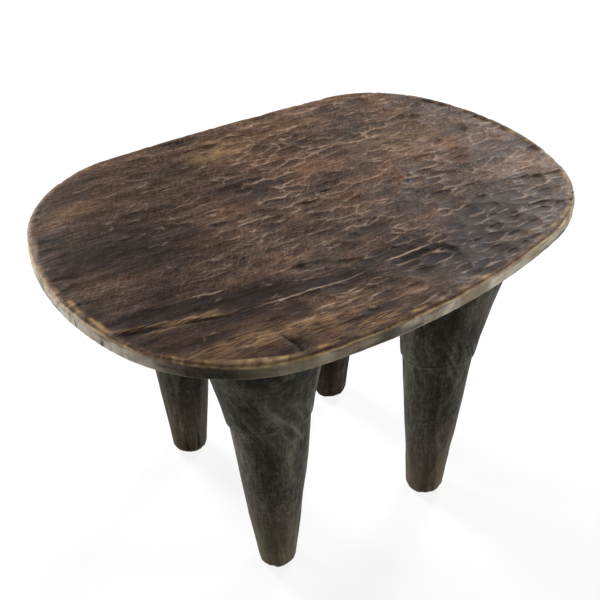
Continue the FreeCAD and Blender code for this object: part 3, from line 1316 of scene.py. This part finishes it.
    def _build_face(
        self, draft: Draft, side: Side, joined: np.ndarray | None = None
    ) -> np.ndarray:
        """Builds the top or the underside as a gridded middle with rings round it.

        Args:
            draft: the mesh that the face joins.
            side: which face.
            joined: the numbers of the rim's last loop, which the underside starts from.

        Returns:
            The numbers of the face's outermost loop.
        """
        pace = 1 if side is Side.TOP else 2
        rings = self.ring_count if side is Side.TOP else self.under_rings
        edge = self._inset(self.top_inset if side is Side.TOP else self.bevel_width + 3.0)[::pace]
        loop = self.core_loop[::pace]
        x, y = np.meshgrid(self.core_x[::pace], self.core_y[::pace])
        core = np.stack([x, y, self._height(side, x, y)], axis=-1)
        numbers = draft.add_points(core, self._masks(side, x, y))
        quads = np.stack(
            [numbers[:-1, :-1], numbers[:-1, 1:], numbers[1:, 1:], numbers[1:, :-1]], axis=-1
        )
        bake = self._bake_face(side, core)
        corners = np.stack([bake[:-1, :-1], bake[:-1, 1:], bake[1:, 1:], bake[1:, :-1]], axis=-2)
        if side is Side.UNDERSIDE:
            quads = quads[..., ::-1]
            corners = corners[..., ::-1, :]
        draft.add_faces(quads, corners)
        shares = np.arange(1, rings + 1) / rings
        flat = loop[None] + (edge - loop)[None] * shares[:, None, None]
        x = flat[..., 0]
        y = flat[..., 1]
        ring_points = np.stack([x, y, self._height(side, x, y)], axis=-1)
        ring_numbers = draft.add_points(ring_points, self._masks(side, x, y))
        first = np.concatenate([numbers[0, :-1], numbers[:-1, -1], numbers[-1, :0:-1], numbers[:0:-1, 0]])
        loops = np.concatenate([first[None], ring_numbers])
        core_loop = np.concatenate([core[0, :-1], core[:-1, -1], core[-1, :0:-1], core[:0:-1, 0]])
        bake = self._bake_face(side, np.concatenate([core_loop[None], ring_points]))
        quads = self._between(loops[:-1], loops[1:])
        corners = self._between(bake[:-1], bake[1:], pair=True)
        if side is Side.UNDERSIDE:
            quads = quads[..., ::-1]
            corners = corners[..., ::-1, :]
        draft.add_faces(quads, corners)
        if joined is not None:
            self._join_coarse(draft, joined, loops[-1], bake[-1])
        return loops[-1]

    def _between(self, inner: np.ndarray, outer: np.ndarray, pair: bool = False) -> np.ndarray:
        """Gives the corners of the faces between loops.

        Args:
            inner: the inner loops, one in each row.
            outer: the loops outside them.
            pair: true where the loops hold places on the bake map, and not the numbers of points.

        Returns:
            The four corners of each face.
        """
        next_inner = np.roll(inner, -1, axis=1)
        next_outer = np.roll(outer, -1, axis=1)
        return np.stack([inner, outer, next_outer, next_inner], axis=-2 if pair else -1)

    def _join_coarse(
        self, draft: Draft, fine: np.ndarray, coarse: np.ndarray, bake: np.ndarray
    ) -> None:
        """Joins the rim's last loop to the underside's first, which has half as many points.

        Args:
            draft: the mesh.
            fine: the numbers of the rim's last loop.
            coarse: the numbers of the underside's outermost loop.
            bake: the places of that loop on the bake map.
        """
        even = fine[0::2]
        odd = fine[1::2]
        after = np.roll(even, -1)
        ahead = np.roll(coarse, -1)
        bake_ahead = np.roll(bake, -1, axis=0)
        # On the bake map the joining faces form a narrow band round the underside.
        outer = bake + (bake - UNDER_BAKE_MIDDLE) * 0.02
        outer_ahead = np.roll(outer, -1, axis=0)
        outer_half = (outer + outer_ahead) / 2.0
        triangles = (
            ((even, coarse, odd), (outer, bake, outer_half)),
            ((odd, coarse, ahead), (outer_half, bake, bake_ahead)),
            ((odd, ahead, after), (outer_half, bake_ahead, outer_ahead)),
        )
        for numbers, places in triangles:
            draft.add_faces(np.stack(numbers, axis=-1), np.stack(places, axis=-2))

    def _rim_profile(self) -> list[tuple[float, float]]:
        """Gives the rim's section as distances in from the outline and down from the top, in mm."""
        side = self.worn_height + self.rim_height
        worn = [
            (8.6, 0.03),
            (7.2, 0.15),
            (5.8, 0.50),
            (4.5, 0.95),
            (3.3, 1.50),
            (2.2, 2.10),
            (1.2, 2.80),
            (0.5, 3.60),
            (0.12, 4.60),
        ]
        upright = [(0.0, drop) for drop in np.linspace(5.8, side - 1.9, 6)]
        lower = [(0.15, side - 0.9), (0.7, side - 0.2), (1.9, side + 0.35)]
        slope = [
            (inset, side + self.bevel_height * inset / self.bevel_width)
            for inset in (4.5, 10.0, 17.0, 25.0, 34.0, self.bevel_width)
        ]
        return worn + upright + lower + slope

    def _round_rim(self, seed: int, size: float, *level: np.ndarray) -> np.ndarray:
        """Gives noise round the rim.

        Args:
            seed: picks the pattern.
            size: the size of its bumps round the rim, in mm.
            level: a third coordinate, where the noise changes down the rim too.

        Returns:
            The noise at each point of the outline.
        """
        return Unevenness(seed).at(self.outline[:, 0] / size, self.outline[:, 1] / size, *level)

    def _build_rim(self, draft: Draft, top_loop: np.ndarray) -> np.ndarray:
        """Builds the rim from the top's edge round to the underside.

        Args:
            draft: the mesh that the rim joins.
            top_loop: the numbers of the top's outermost loop.

        Returns:
            The numbers of the rim's last loop.
        """
        profile = np.array(self._rim_profile())
        count = len(self.outline)
        x = self.outline[:, 0]
        y = self.outline[:, 1]
        bearing = np.degrees(np.arctan2(y, x))
        chips = np.clip(self._round_rim(21, 9.0) * 0.6 + self._round_rim(22, 4.0) * 0.5, 0, 1)
        end = self.outward[:, 0] ** 2
        # The wear is strongest along the front, where people sit down and carry the stool.
        rubbed = 0.35 + 0.65 * smooth_step(60.0, -60.0, y)
        rubbed = rubbed * np.clip(0.55 + 1.1 * self._round_rim(24, 9.0), 0.0, 1.2)
        # Smoke and hands have blackened the near left corner's side.
        sooty = np.exp(-(((bearing + 142.0) / 8.0) ** 2))
        sooty = sooty + 0.8 * chips * np.exp(-(((bearing + 157.0) / 4.0) ** 2))
        corner = np.exp(-(((bearing + 132.0) / 6.0) ** 2)) * (0.75 + 0.4 * self._round_rim(29, 7.0))
        pale = smooth_step(0.35, 0.85, end) * np.where(x < 0.0, 1.0, 0.7)
        pale = np.maximum(pale, np.clip(0.15 + 0.8 * self._round_rim(39, 18.0), 0.0, 0.6))
        checks = np.clip(5.0 * self._round_rim(25, 4.0) - 3.4, 0.0, 1.0)
        checks = checks * (0.45 + 0.55 * smooth_step(0.3, 0.7, end))
        previous = top_loop
        old_bake = None
        length = np.concatenate([[0.0], np.cumsum(np.hypot(*np.diff(profile, axis=0).T))])
        for number, (inset, drop) in enumerate(profile):
            level = np.full(count, drop)
            upper = float(smooth_step(5.5, 3.0, np.array(drop)))
            upright = float(smooth_step(2.4, 4.6, np.array(drop)) * smooth_step(16.5, 15.0, np.array(drop)))
            under = float(smooth_step(15.0, 16.0, np.array(drop)))
            nick = upper * 1.1 * chips * smooth_step(9.0, 4.0, np.full(count, inset))
            grit = 0.25 + 0.25 * self._round_rim(26, 5.0, level / 3.0)
            flat = self._inset(inset + nick + grit * (upright + 0.3 * upper))
            fade = float(smooth_step(1.5, 9.0, np.array(inset))) if drop < 5.0 else 0.0
            cut = np.minimum(self.top_sheet.read(self.top_cut, flat[:, 0], flat[:, 1]), 0.0)
            height = self.top - drop + fade * cut - 0.5 * nick
            if under > 0.0:
                height = height - under * self.under_sheet.read(self.under_cut, flat[:, 0], flat[:, 1]) * 0.8
            points = np.concatenate([flat, height[:, None]], axis=1)
            top_masks = self._masks(Side.TOP, flat[:, 0], flat[:, 1])
            masks = {key: value * fade for key, value in top_masks.items()}
            # A pale line runs along the edge itself, and a broken brown one wanders inside it, with a dark
            # line between them.
            wander = 1.3 * self._round_rim(27, 19.0) + 0.8 * self._round_rim(28, 6.0)
            outer = np.exp(-(((drop - 3.0 - 0.3 * wander) / 0.6) ** 2))
            inner = np.exp(-(((inset - 6.0 - wander) / 2.0) ** 2)) if drop < 5.0 else np.zeros(count)
            flecks = 0.9 * self._round_rim(36, 12.0) + 0.6 * self._round_rim(38, 4.0)
            inner = inner * np.clip(0.55 + flecks, 0.0, 1.1)
            shade = np.exp(-(((inset - 3.4 - wander) / 1.3) ** 2)) if drop < 5.0 else np.zeros(count)
            # The lower arris gets a painted highlight, and no soot under it.
            arris = float(np.exp(-(((drop - 15.0) / 0.45) ** 2)))
            masks["wear"] = np.clip(outer * (0.50 + 0.75 * rubbed) + 0.8 * corner * upper, 0.0, 1.0)
            masks["inner_wear"] = np.clip(inner * rubbed * (1.1 + 1.2 * chips), 0.0, 1.0)
            blotch = 0.88 + 0.30 * self._round_rim(35, 13.0, level / 6.0)
            masks["side"] = np.clip(max(upright, 0.6 * under) * blotch, 0.0, 1.0)
            pale_side = pale * upright * (blotch + 0.2)
            masks["end_grain_and_highlight"] = np.clip(np.maximum(pale_side, 0.75 * arris), 0.0, 1.0)
            grimy = 0.8 * upright * np.clip(1.8 * self._round_rim(37, 24.0, level / 4.0) - 0.25, 0, 1)
            soot = sooty * upright * 1.2 + grimy + 0.35 * under + 0.75 * shade * rubbed
            masks["soot"] = np.clip(soot, 0.0, 1.0) * (1.0 - 0.8 * arris)
            torn = np.clip(0.5 + 1.5 * self._round_rim(30, 6.0, level / 5.0), 0.0, 1.0)
            masks["crack"] = np.maximum(masks["crack"], checks * upright * torn)
            numbers = draft.add_points(points[None], masks)[0]
            bake = self._bake_rim(count, length[number] / length[-1])
            if number == 0:
                flat_bake = self._bake_face(Side.TOP, np.stack([self._inset(self.top_inset), points[:, :2]]))
                draft.add_faces(
                    self._between(previous[None], numbers[None]),
                    self._between(flat_bake[:1], flat_bake[1:], pair=True),
                )
            else:
                quads = self._between(previous[None], numbers[None])[0]
                corners = np.stack([old_bake[0], bake[0], bake[1], old_bake[1]], axis=-2)
                draft.add_faces(quads, corners)
            previous = numbers
            old_bake = bake
        return previous

    def _bake_rim(self, count: int, share: float) -> tuple[np.ndarray, np.ndarray]:
        """Gives where a rim loop lies on the bake map.

        Args:
            count: how many points the loop has.
            share: how far down the rim it lies, from 0 to 1.

        Returns:
            The places of each face's start and of its end, in four strips.
        """
        numbers = np.arange(count)
        quarter = count // 4
        strip = np.minimum(numbers // quarter, 3)
        start = (numbers - strip * quarter) / (quarter + 4)
        finish = (numbers + 1 - strip * quarter) / (quarter + 4)
        v = 0.012 + 0.066 * strip + 0.060 * share
        low = np.stack([0.42 + 0.56 * start, v], axis=-1)
        high = np.stack([0.42 + 0.56 * finish, v], axis=-1)
        return low, high


@dataclass
class Leg:
    """A hewn leg that tapers to its foot and flares into the seat. Sizes are in mm.

    Attributes:
        node: the CAD node that it stands for.
        cad_shoulder: the height of the CAD node's level shoulder.
        shoulder: the mean height of the line cut round it under the hip.
        lean: how far that line runs up towards one side, in mm.
        lean_bearing: the side that it runs up towards, in degrees.
        seed: picks its tool marks.
        dark_wood_and_shade: how far the whole leg turns to black-brown, from 0 to 1: darker wood, and on the
            back legs mostly painted shade.
        checks: the bearing in degrees, lowest height and length of each drying check at its foot.
        columns: the mesh's columns round the leg.
        row_step: the height of a row of the mesh.
        foot_round: the radius of the foot's worn edge.
        flare: how much it widens where it runs into the seat.
        flare_height: the height that this takes.
        strokes: the length, width, depth, spacing and row gap of the long hewing strokes.
        short_strokes: the pass of shorter ones over them.
        mean_radius: the radius that the flat sheet of strokes is wrapped round.
        sheet_length: the length of that sheet.
        wall_top: the level of the wall's last row, before it is moved to fit the seat.
        fitted_from: the level above which rows are moved to fit.
        sink: how far the wall goes up into the seat.
    """

    node: str
    cad_shoulder: float
    shoulder: float
    lean: float
    lean_bearing: float
    seed: int
    dark_wood_and_shade: float = 0.0
    checks: tuple[tuple[float, float, float], ...] = ()
    columns: int = 144
    row_step: float = 2.2
    foot_round: float = 5.0
    flare: float = 4.0
    flare_height: float = 14.0
    strokes: tuple[float, float, float, float, float] = (100.0, 26.0, 0.80, 52.0, 16.0)
    short_strokes: tuple[float, float, float, float, float] = (46.0, 20.0, 0.45, 40.0, 17.0)
    mean_radius: float = 40.0
    sheet_length: float = 330.0
    wall_top: float = 315.0
    fitted_from: float = 265.0
    sink: float = 2.2

    def build(self, material: bpy.types.Material) -> bpy.types.Object:
        """Builds the leg over its CAD node.

        Args:
            material: the legs' wood.

        Returns:
            The closed mesh, with the strokes, the shoulder line and the worn foot in its shape.
        """
        self._measure()
        self._hew()
        draft = Draft()
        loops = self._build_wall(draft)
        self._close(draft, loops)
        return draft.make(self.node + "_hewn", material)

    def dress(self, piece: bpy.types.Object) -> None:
        """Puts the leg on the frame in place of its CAD node."""
        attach(piece, "root")
        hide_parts(self.node)

    def _measure(self) -> None:
        """Reads the leg's middle and mean radius at each height from its CAD node, and how high it can go."""
        surface = node_surface(self.node)
        self.seat_surface = node_surface("seat")
        low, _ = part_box(self.node)
        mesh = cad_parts[self.node].data
        sole = [v.co / MM for v in mesh.vertices if v.co.z < low.z + 0.5 * MM]
        middle = sum(sole, Vector()) / len(sole)
        bearings = np.radians(np.arange(0.0, 360.0, 9.0))
        heights = np.arange(1.0, 311.0, 3.0)
        middles = []
        radii = []
        for height in heights:
            start = Vector((middle.x, middle.y, height))
            hits = []
            for bearing in bearings:
                way = Vector((math.cos(bearing), math.sin(bearing), 0.0))
                hit, _, _, _ = surface.ray_cast(start, way)
                # A ray along a seam between two faces can slip through, and its neighbours stand in for it.
                if hit is not None:
                    hits.append(hit)
            middle = sum(hits, Vector()) / len(hits)
            middles.append((middle.x, middle.y))
            radii.append(np.mean([(hit - middle).length for hit in hits]))
        self.heights = heights
        self.middles = np.array(middles)
        self.radii = np.array(radii)

    def _along(self, values: np.ndarray, height: np.ndarray) -> np.ndarray:
        """Reads a measured value at heights, carried on in a straight line above the last."""
        slope = (values[-1] - values[-8]) / (self.heights[-1] - self.heights[-8])
        beyond = np.maximum(height - self.heights[-1], 0.0)
        return np.interp(height, self.heights, values) + slope * beyond

    def _hew(self) -> None:
        """Cuts the hewing strokes on a flat sheet wrapped round the leg."""
        girth = 2.0 * math.pi * self.mean_radius
        sheet = Sheet(0.0, 0.0, self.sheet_length, girth, 1.0, wraps=True)
        share = np.ones_like(sheet.along)
        Bites(*self.strokes, lean=4.0, seed=self.seed).work(sheet, share)
        Bites(*self.short_strokes, lean=25.0, seed=self.seed + 50).work(sheet, share)
        self.girth = girth
        self.sheet = sheet
        self.ridge = sheet.ridges(np.full_like(share, 0.07))

    def _build_wall(self, draft: Draft) -> np.ndarray:
        """Builds the leg's wall from the sole up into the seat.

        Args:
            draft: the mesh that the wall joins.

        Returns:
            The numbers of its points, row by row.
        """
        bearing = np.linspace(0.0, 2.0 * math.pi, self.columns, endpoint=False)
        way = np.stack([np.cos(bearing), np.sin(bearing)], axis=1)
        top = self._tops(way)
        foot_rows = self.foot_round * (1.0 - np.cos(np.radians(np.arange(0.0, 90.1, 15.0))))
        shank_rows = np.arange(self.foot_round + 1.6, self.wall_top - 2.0, self.row_step)
        rows = np.concatenate([foot_rows, shank_rows, [self.wall_top]])
        level = rows[:, None] + np.zeros((1, self.columns))
        lift = np.clip((level - self.fitted_from) / (self.wall_top - self.fitted_from), 0.0, 1.0)
        level = level + lift * (top - self.wall_top)[None]
        share = np.broadcast_to((bearing / (2.0 * math.pi))[None], level.shape)
        rough = Unevenness(self.seed + 7)
        around_x = np.cos(bearing)[None] * 2.2 + 0.0 * level
        around_y = np.sin(bearing)[None] * 2.2 + 0.0 * level
        line = self.shoulder + self.lean * np.cos(bearing - math.radians(self.lean_bearing))[None]
        line = line + 1.2 * rough.at(around_x + 40.0, around_y, 0.0 * level)
        off = level - line
        # The hip starts at the shoulder line, so the measured widths move up and down with it.
        moved = (line - self.cad_shoulder) * np.exp(-((off / 45.0) ** 2))
        radius = self._along(self.radii, level - moved)
        x = self._along(self.middles[:, 0], level)
        y = self._along(self.middles[:, 1], level)
        cut = self.sheet.read(self.sheet.cut, level, share * self.girth)
        swell = rough.at(around_x, around_y, level / 55.0)
        grain = rough.at(around_x * 9.0, around_y * 9.0, level / 60.0)
        worn = np.clip(0.6 + 0.7 * rough.at(around_x * 1.3 + 7.0, around_y * 1.3, level / 40.0), 0.0, 1.0)
        groove = worn * np.exp(-((off / 1.5) ** 2))
        # A highlight is painted pale on the edge just under the line.
        lip = worn * np.exp(-(((off + 3.0) / 1.4) ** 2))
        step = smooth_step(-1.2, 1.6, off) * smooth_step(26.0, 4.0, off)
        near_top = np.clip(1.0 - (top[None] - level) / self.flare_height, 0.0, 1.0)
        radius = radius + 0.5 + cut + 0.7 * swell + 0.06 * grain + 0.7 * step - 0.7 * groove
        radius = radius + self.flare * near_top**2
        fold = np.clip(1.0 - level / self.foot_round, 0.0, 1.0)
        radius = radius - self.foot_round * (1.0 - np.sqrt(1.0 - fold**2))
        chips = np.clip(rough.at(around_x * 4.0, around_y * 4.0 + 9.0, level / 5.0), 0.0, 1.0)
        low_down = smooth_step(12.0, 0.0, level)
        radius = radius - 1.2 * chips * low_down
        crack = np.zeros_like(level)
        for place, start, length in self.checks:
            away = np.degrees(np.angle(np.exp(1j * (bearing - math.radians(place)))))[None]
            away = away + 0.12 * (level - start) + 2.5 * rough.at(level / 9.0, 0.0 * level + place)
            inside = smooth_step(start - 3.0, start + 3.0, level)
            inside = inside * smooth_step(start + length, start + 0.5 * length, level)
            crack = np.maximum(crack, inside * np.exp(-((away / 2.4) ** 2)))
        radius = radius - 1.3 * crack
        scratch_band = np.exp(-(((off - 8.0) / 26.0) ** 2))
        slant = level * 0.55 + share * self.girth
        scratches = Unevenness(self.seed + 3).at(slant / 1.8, (level - share * self.girth) / 60.0)
        scratches = np.clip(scratches * 2.0 - 0.7, 0, 1)
        # Shade is painted on the hip: it darkens up the leg and is blackest right under the seat.
        hip = smooth_step(120.0, 290.0, level) * (0.62 + 0.9 * swell)
        hip = hip + 0.9 * smooth_step(272.0, 312.0, level)
        masks = {
            "worked": np.ones_like(level),
            "ridge": self.sheet.read(self.ridge, level, share * self.girth) * (0.45 + 0.55 * scratch_band),
            "hollow": np.clip(-cut / 0.9, 0.0, 1.0),
            "scratches_and_highlight": np.clip(scratch_band * scratches + 0.5 * lip, 0.0, 1.0),
            "hip": np.clip(hip, 0.0, 1.0),
            "dark_wood_and_shade": np.full_like(level, self.dark_wood_and_shade),
            "foot": smooth_step(130.0, 0.0, level) * (0.7 + 0.3 * swell),
            "crack": np.clip(crack + 0.80 * groove, 0.0, 1.0),
        }
        points = np.stack([x + radius * way[None, :, 0], y + radius * way[None, :, 1], level], axis=-1)
        numbers = draft.add_points(points, masks)
        ahead = np.roll(numbers, -1, axis=1)
        quads = np.stack([numbers[:-1], ahead[:-1], ahead[1:], numbers[1:]], axis=-1)
        u = np.arange(self.columns + 1) / self.columns * 0.72 + 0.02
        v = 0.02 + level / self.sheet_length * 0.94
        left = np.stack([np.broadcast_to(u[None, :-1], v.shape), v], axis=-1)
        right = np.stack([np.broadcast_to(u[None, 1:], v.shape), np.roll(v, -1, axis=1)], axis=-1)
        draft.add_faces(quads, np.stack([left[:-1], right[:-1], right[1:], left[1:]], axis=-2))
        self.points = points
        return numbers

    def _tops(self, way: np.ndarray) -> np.ndarray:
        """Gives the height, just inside the seat, that each column of the wall goes up to."""
        height = np.array([self.wall_top - 3.0])
        radius = self._along(self.radii, height)[0] + self.flare
        x = self._along(self.middles[:, 0], height)[0]
        y = self._along(self.middles[:, 1], height)[0]
        tops = []
        for step_x, step_y in way:
            start = Vector((x + radius * step_x, y + radius * step_y, 250.0))
            hit, _, _, _ = self.seat_surface.ray_cast(start, Vector((0.0, 0.0, 1.0)))
            tops.append(hit.z + self.sink)
        return np.array(tops)

    def _close(self, draft: Draft, loops: np.ndarray) -> None:
        """Closes the sole and the hidden top with fans."""
        ends = ((0, loops[0][::-1], (0.87, 0.15)), (-1, loops[-1], (0.87, 0.50)))
        for row, loop, (u, v) in ends:
            ring = self.points[row]
            middle = ring.mean(axis=0)
            hub = draft.add_points(middle[None], {"foot": np.array([1.0 if row == 0 else 0.0])})[0]
            ahead = np.roll(loop, -1)
            turn = np.linspace(0.0, 2.0 * math.pi, len(loop) + 1)
            reach = 0.05 if row == 0 else 0.10
            spots = np.stack([u + reach * np.cos(turn), v + reach * np.sin(turn)], axis=-1)
            centre = np.broadcast_to(np.array([u, v]), spots[:-1].shape)
            faces = np.stack([np.full_like(loop, hub), loop, ahead], axis=-1)
            draft.add_faces(faces, np.stack([centre, spots[:-1], spots[1:]], axis=-2))


@dataclass
class Studio:
    """A white floor, soft lamps and the photograph's camera. Sizes are in metres.

    Attributes:
        floor_size: the floor's width.
        floor_glow: how much of the white that the camera sees is the floor's own, so that shadows stay pale.
        floor_level: the floor's height, a hair under the feet.
        room_light: the strength of the room's even light.
        ceiling: how bright the upper room is in a reflection, where the horizon is 1.
        azimuth: the camera's bearing, in degrees.
        elevation: the camera's height above the horizon, in degrees.
        distance: from the camera to its target.
        target: what the camera looks at.
        lens: the focal length on a 36 mm sensor.
        lamp_aim: what the lamps face.
    """

    floor_size: float = 14.0
    floor_glow: float = 0.85
    floor_level: float = -0.0003
    room_light: float = 0.08
    ceiling: float = 0.04
    azimuth: float = -32.24
    elevation: float = 36.36
    distance: float = 1.1886
    target: tuple[float, float, float] = (0.0316, 0.0746, 0.16805)
    lens: float = 66.0
    lamp_aim: tuple[float, float, float] = (0.0, 0.0, 0.25)

    def build(self) -> None:
        """Builds the floor, the room, the lamps and the camera."""
        self._floor()
        self._room()
        self._lamp("back softbox", (-0.5, 1.9, 1.3), 0.9, 64.0)
        self._lamp("high right softbox", (1.6, 0.9, 1.1), 0.9, 36.0)
        # These three stand low, so they light the rim and the legs and hardly reach the seat's top.
        self._lamp("low left softbox", (-1.35, 0.85, 0.18), 0.34, 24.0)
        self._lamp("low right softbox", (1.30, -0.95, 0.18), 0.34, 32.0)
        self._lamp("low front softbox", (-0.75, -1.20, 0.18), 0.34, 4.0)
        self._camera()

    def _floor(self) -> None:
        """Lays the white floor, which the camera sees as white with the stool's pale shadow on it."""
        half = self.floor_size / 2.0
        level = self.floor_level
        mesh = bpy.data.meshes.new("studio_floor")
        corners = [(-half, -half, level), (half, -half, level), (half, half, level), (-half, half, level)]
        mesh.from_pydata(corners, [], [(0, 1, 2, 3)])
        floor = bpy.data.objects.new("studio_floor", mesh)
        bpy.context.scene.collection.objects.link(floor)
        material = bpy.data.materials.new("white paper sweep, matt")
        material.use_nodes = True
        tree = material.node_tree
        tree.nodes.clear()
        path = add_node(tree, "ShaderNodeLightPath")
        mirrored = self._in_reflections(tree, path)
        seen = add_node(
            tree,
            "ShaderNodeMath",
            {"operation": "MAXIMUM"},
            {0: path.outputs["Is Camera Ray"], 1: mirrored},
        )
        glow = add_node(
            tree,
            "ShaderNodeMath",
            {"operation": "MULTIPLY"},
            {0: seen.outputs["Value"], 1: self.floor_glow},
        )
        # The paper sends back as much light as pale grey does, and the camera sees it as white.
        tone = add_node(
            tree,
            "ShaderNodeMix",
            {"data_type": "RGBA"},
            {0: path.outputs["Is Camera Ray"], 6: to_linear("#b8b8b6"), 7: to_linear("#f4f4f3")},
        )
        paper = add_node(tree, "ShaderNodeBsdfDiffuse", inputs={"Color": tone.outputs[2]})
        white = add_node(tree, "ShaderNodeEmission", inputs={"Color": to_linear("#ffffff"), "Strength": 1.0})
        both = add_node(
            tree,
            "ShaderNodeMixShader",
            inputs={0: glow.outputs["Value"], 1: paper.outputs["BSDF"], 2: white.outputs["Emission"]},
        )
        add_node(tree, "ShaderNodeOutputMaterial", inputs={"Surface": both.outputs["Shader"]})
        mesh.materials.append(material)

    def _in_reflections(self, tree: bpy.types.NodeTree, path: bpy.types.Node) -> bpy.types.NodeSocket:
        """Tells whether something is seen in a reflection or through glass.

        Args:
            tree: the material's or the world's nodes.
            path: its light path node.

        Returns:
            1 where it is, and 0 where it isn't.
        """
        either = add_node(
            tree,
            "ShaderNodeMath",
            {"operation": "MAXIMUM"},
            {0: path.outputs["Is Glossy Ray"], 1: path.outputs["Is Transmission Ray"]},
        )
        return either.outputs["Value"]

    def _room(self) -> None:
        """Makes the room white for the camera, white round the horizon in reflections, and dim as a light."""
        world = bpy.data.worlds.new("studio_room")
        bpy.context.scene.world = world
        world.use_nodes = True
        tree = world.node_tree
        tree.nodes.clear()
        path = add_node(tree, "ShaderNodeLightPath")
        way = add_node(tree, "ShaderNodeTexCoord")
        split = add_node(tree, "ShaderNodeSeparateXYZ", inputs={0: way.outputs["Generated"]})
        horizon = add_node(
            tree,
            "ShaderNodeMapRange",
            inputs={
                "Value": split.outputs["Z"],
                "From Min": 0.05,
                "From Max": 0.40,
                "To Min": 1.0,
                "To Max": self.ceiling,
            },
        )
        mirrored = self._in_reflections(tree, path)
        strength = add_node(
            tree,
            "ShaderNodeMix",
            {"data_type": "FLOAT"},
            {0: mirrored, 2: self.room_light, 3: horizon.outputs["Result"]},
        )
        strength = add_node(
            tree,
            "ShaderNodeMix",
            {"data_type": "FLOAT"},
            {0: path.outputs["Is Camera Ray"], 2: strength.outputs[0], 3: 1.0},
        )
        back = add_node(
            tree,
            "ShaderNodeBackground",
            inputs={"Color": to_linear("#ffffff"), "Strength": strength.outputs[0]},
        )
        add_node(tree, "ShaderNodeOutputWorld", inputs={"Surface": back.outputs["Background"]})

    def _lamp(self, name: str, place: tuple[float, float, float], size: float, power: float) -> None:
        """Hangs a soft lamp that faces the seat.

        Args:
            name: the lamp's name.
            place: where it hangs.
            size: its width.
            power: its power, in watts.
        """
        light = bpy.data.lights.new(name, "AREA")
        light.shape = "DISK"
        light.size = size
        light.energy = power
        lamp = bpy.data.objects.new(name, light)
        lamp.location = place
        lamp.rotation_mode = "QUATERNION"
        lamp.rotation_quaternion = (Vector(self.lamp_aim) - Vector(place)).to_track_quat("-Z", "Y")
        lamp.visible_camera = False
        bpy.context.scene.collection.objects.link(lamp)

    def _camera(self) -> None:
        """Stands the camera where the photograph was taken from."""
        azimuth = math.radians(self.azimuth)
        elevation = math.radians(self.elevation)
        back = Vector(
            (
                math.sin(azimuth) * math.cos(elevation),
                -math.cos(azimuth) * math.cos(elevation),
                math.sin(elevation),
            )
        )
        data = bpy.data.cameras.new("camera")
        data.sensor_width = 36.0
        data.lens = self.lens
        camera = bpy.data.objects.new("camera", data)
        camera.location = Vector(self.target) + back * self.distance
        camera.rotation_mode = "QUATERNION"
        camera.rotation_quaternion = (-back).to_track_quat("-Z", "Y")
        bpy.context.scene.collection.objects.link(camera)
        bpy.context.scene.camera = camera


def main() -> None:
    """Builds the studio, the seat and the legs."""
    logging.basicConfig(level=logging.INFO, format="%(name)s: %(message)s")
    bpy.context.scene.view_settings.view_transform = "Standard"
    Studio().build()
    seat = Seat()
    piece = seat.build()
    seat.dress(piece)
    log.info("%s has %d faces", piece.name, len(piece.data.polygons))
    wood = HEWN_HARDWOOD.material()
    # The back legs are painted darker, mostly as shade under the seat.
    legs = (
        Leg("leg_front_left", cad_shoulder=192.0, shoulder=198.0, lean=15.0, lean_bearing=-92.0, seed=101),
        Leg(
            "leg_front_right",
            cad_shoulder=180.0,
            shoulder=184.0,
            lean=12.0,
            lean_bearing=-106.0,
            seed=202,
            dark_wood_and_shade=0.1,
        ),
        Leg(
            "leg_back_left",
            cad_shoulder=186.0,
            shoulder=188.0,
            lean=7.0,
            lean_bearing=110.0,
            seed=303,
            dark_wood_and_shade=0.35,
            checks=((-120.0, 3.0, 22.0), (-85.0, 8.0, 34.0)),
        ),
        Leg(
            "leg_back_right",
            cad_shoulder=184.0,
            shoulder=186.0,
            lean=7.0,
            lean_bearing=70.0,
            seed=404,
            dark_wood_and_shade=0.85,
        ),
    )
    for leg in legs:
        piece = leg.build(wood)
        leg.dress(piece)
        log.info("%s has %d faces", piece.name, len(piece.data.polygons))


if __name__ == "__main__":
    main()
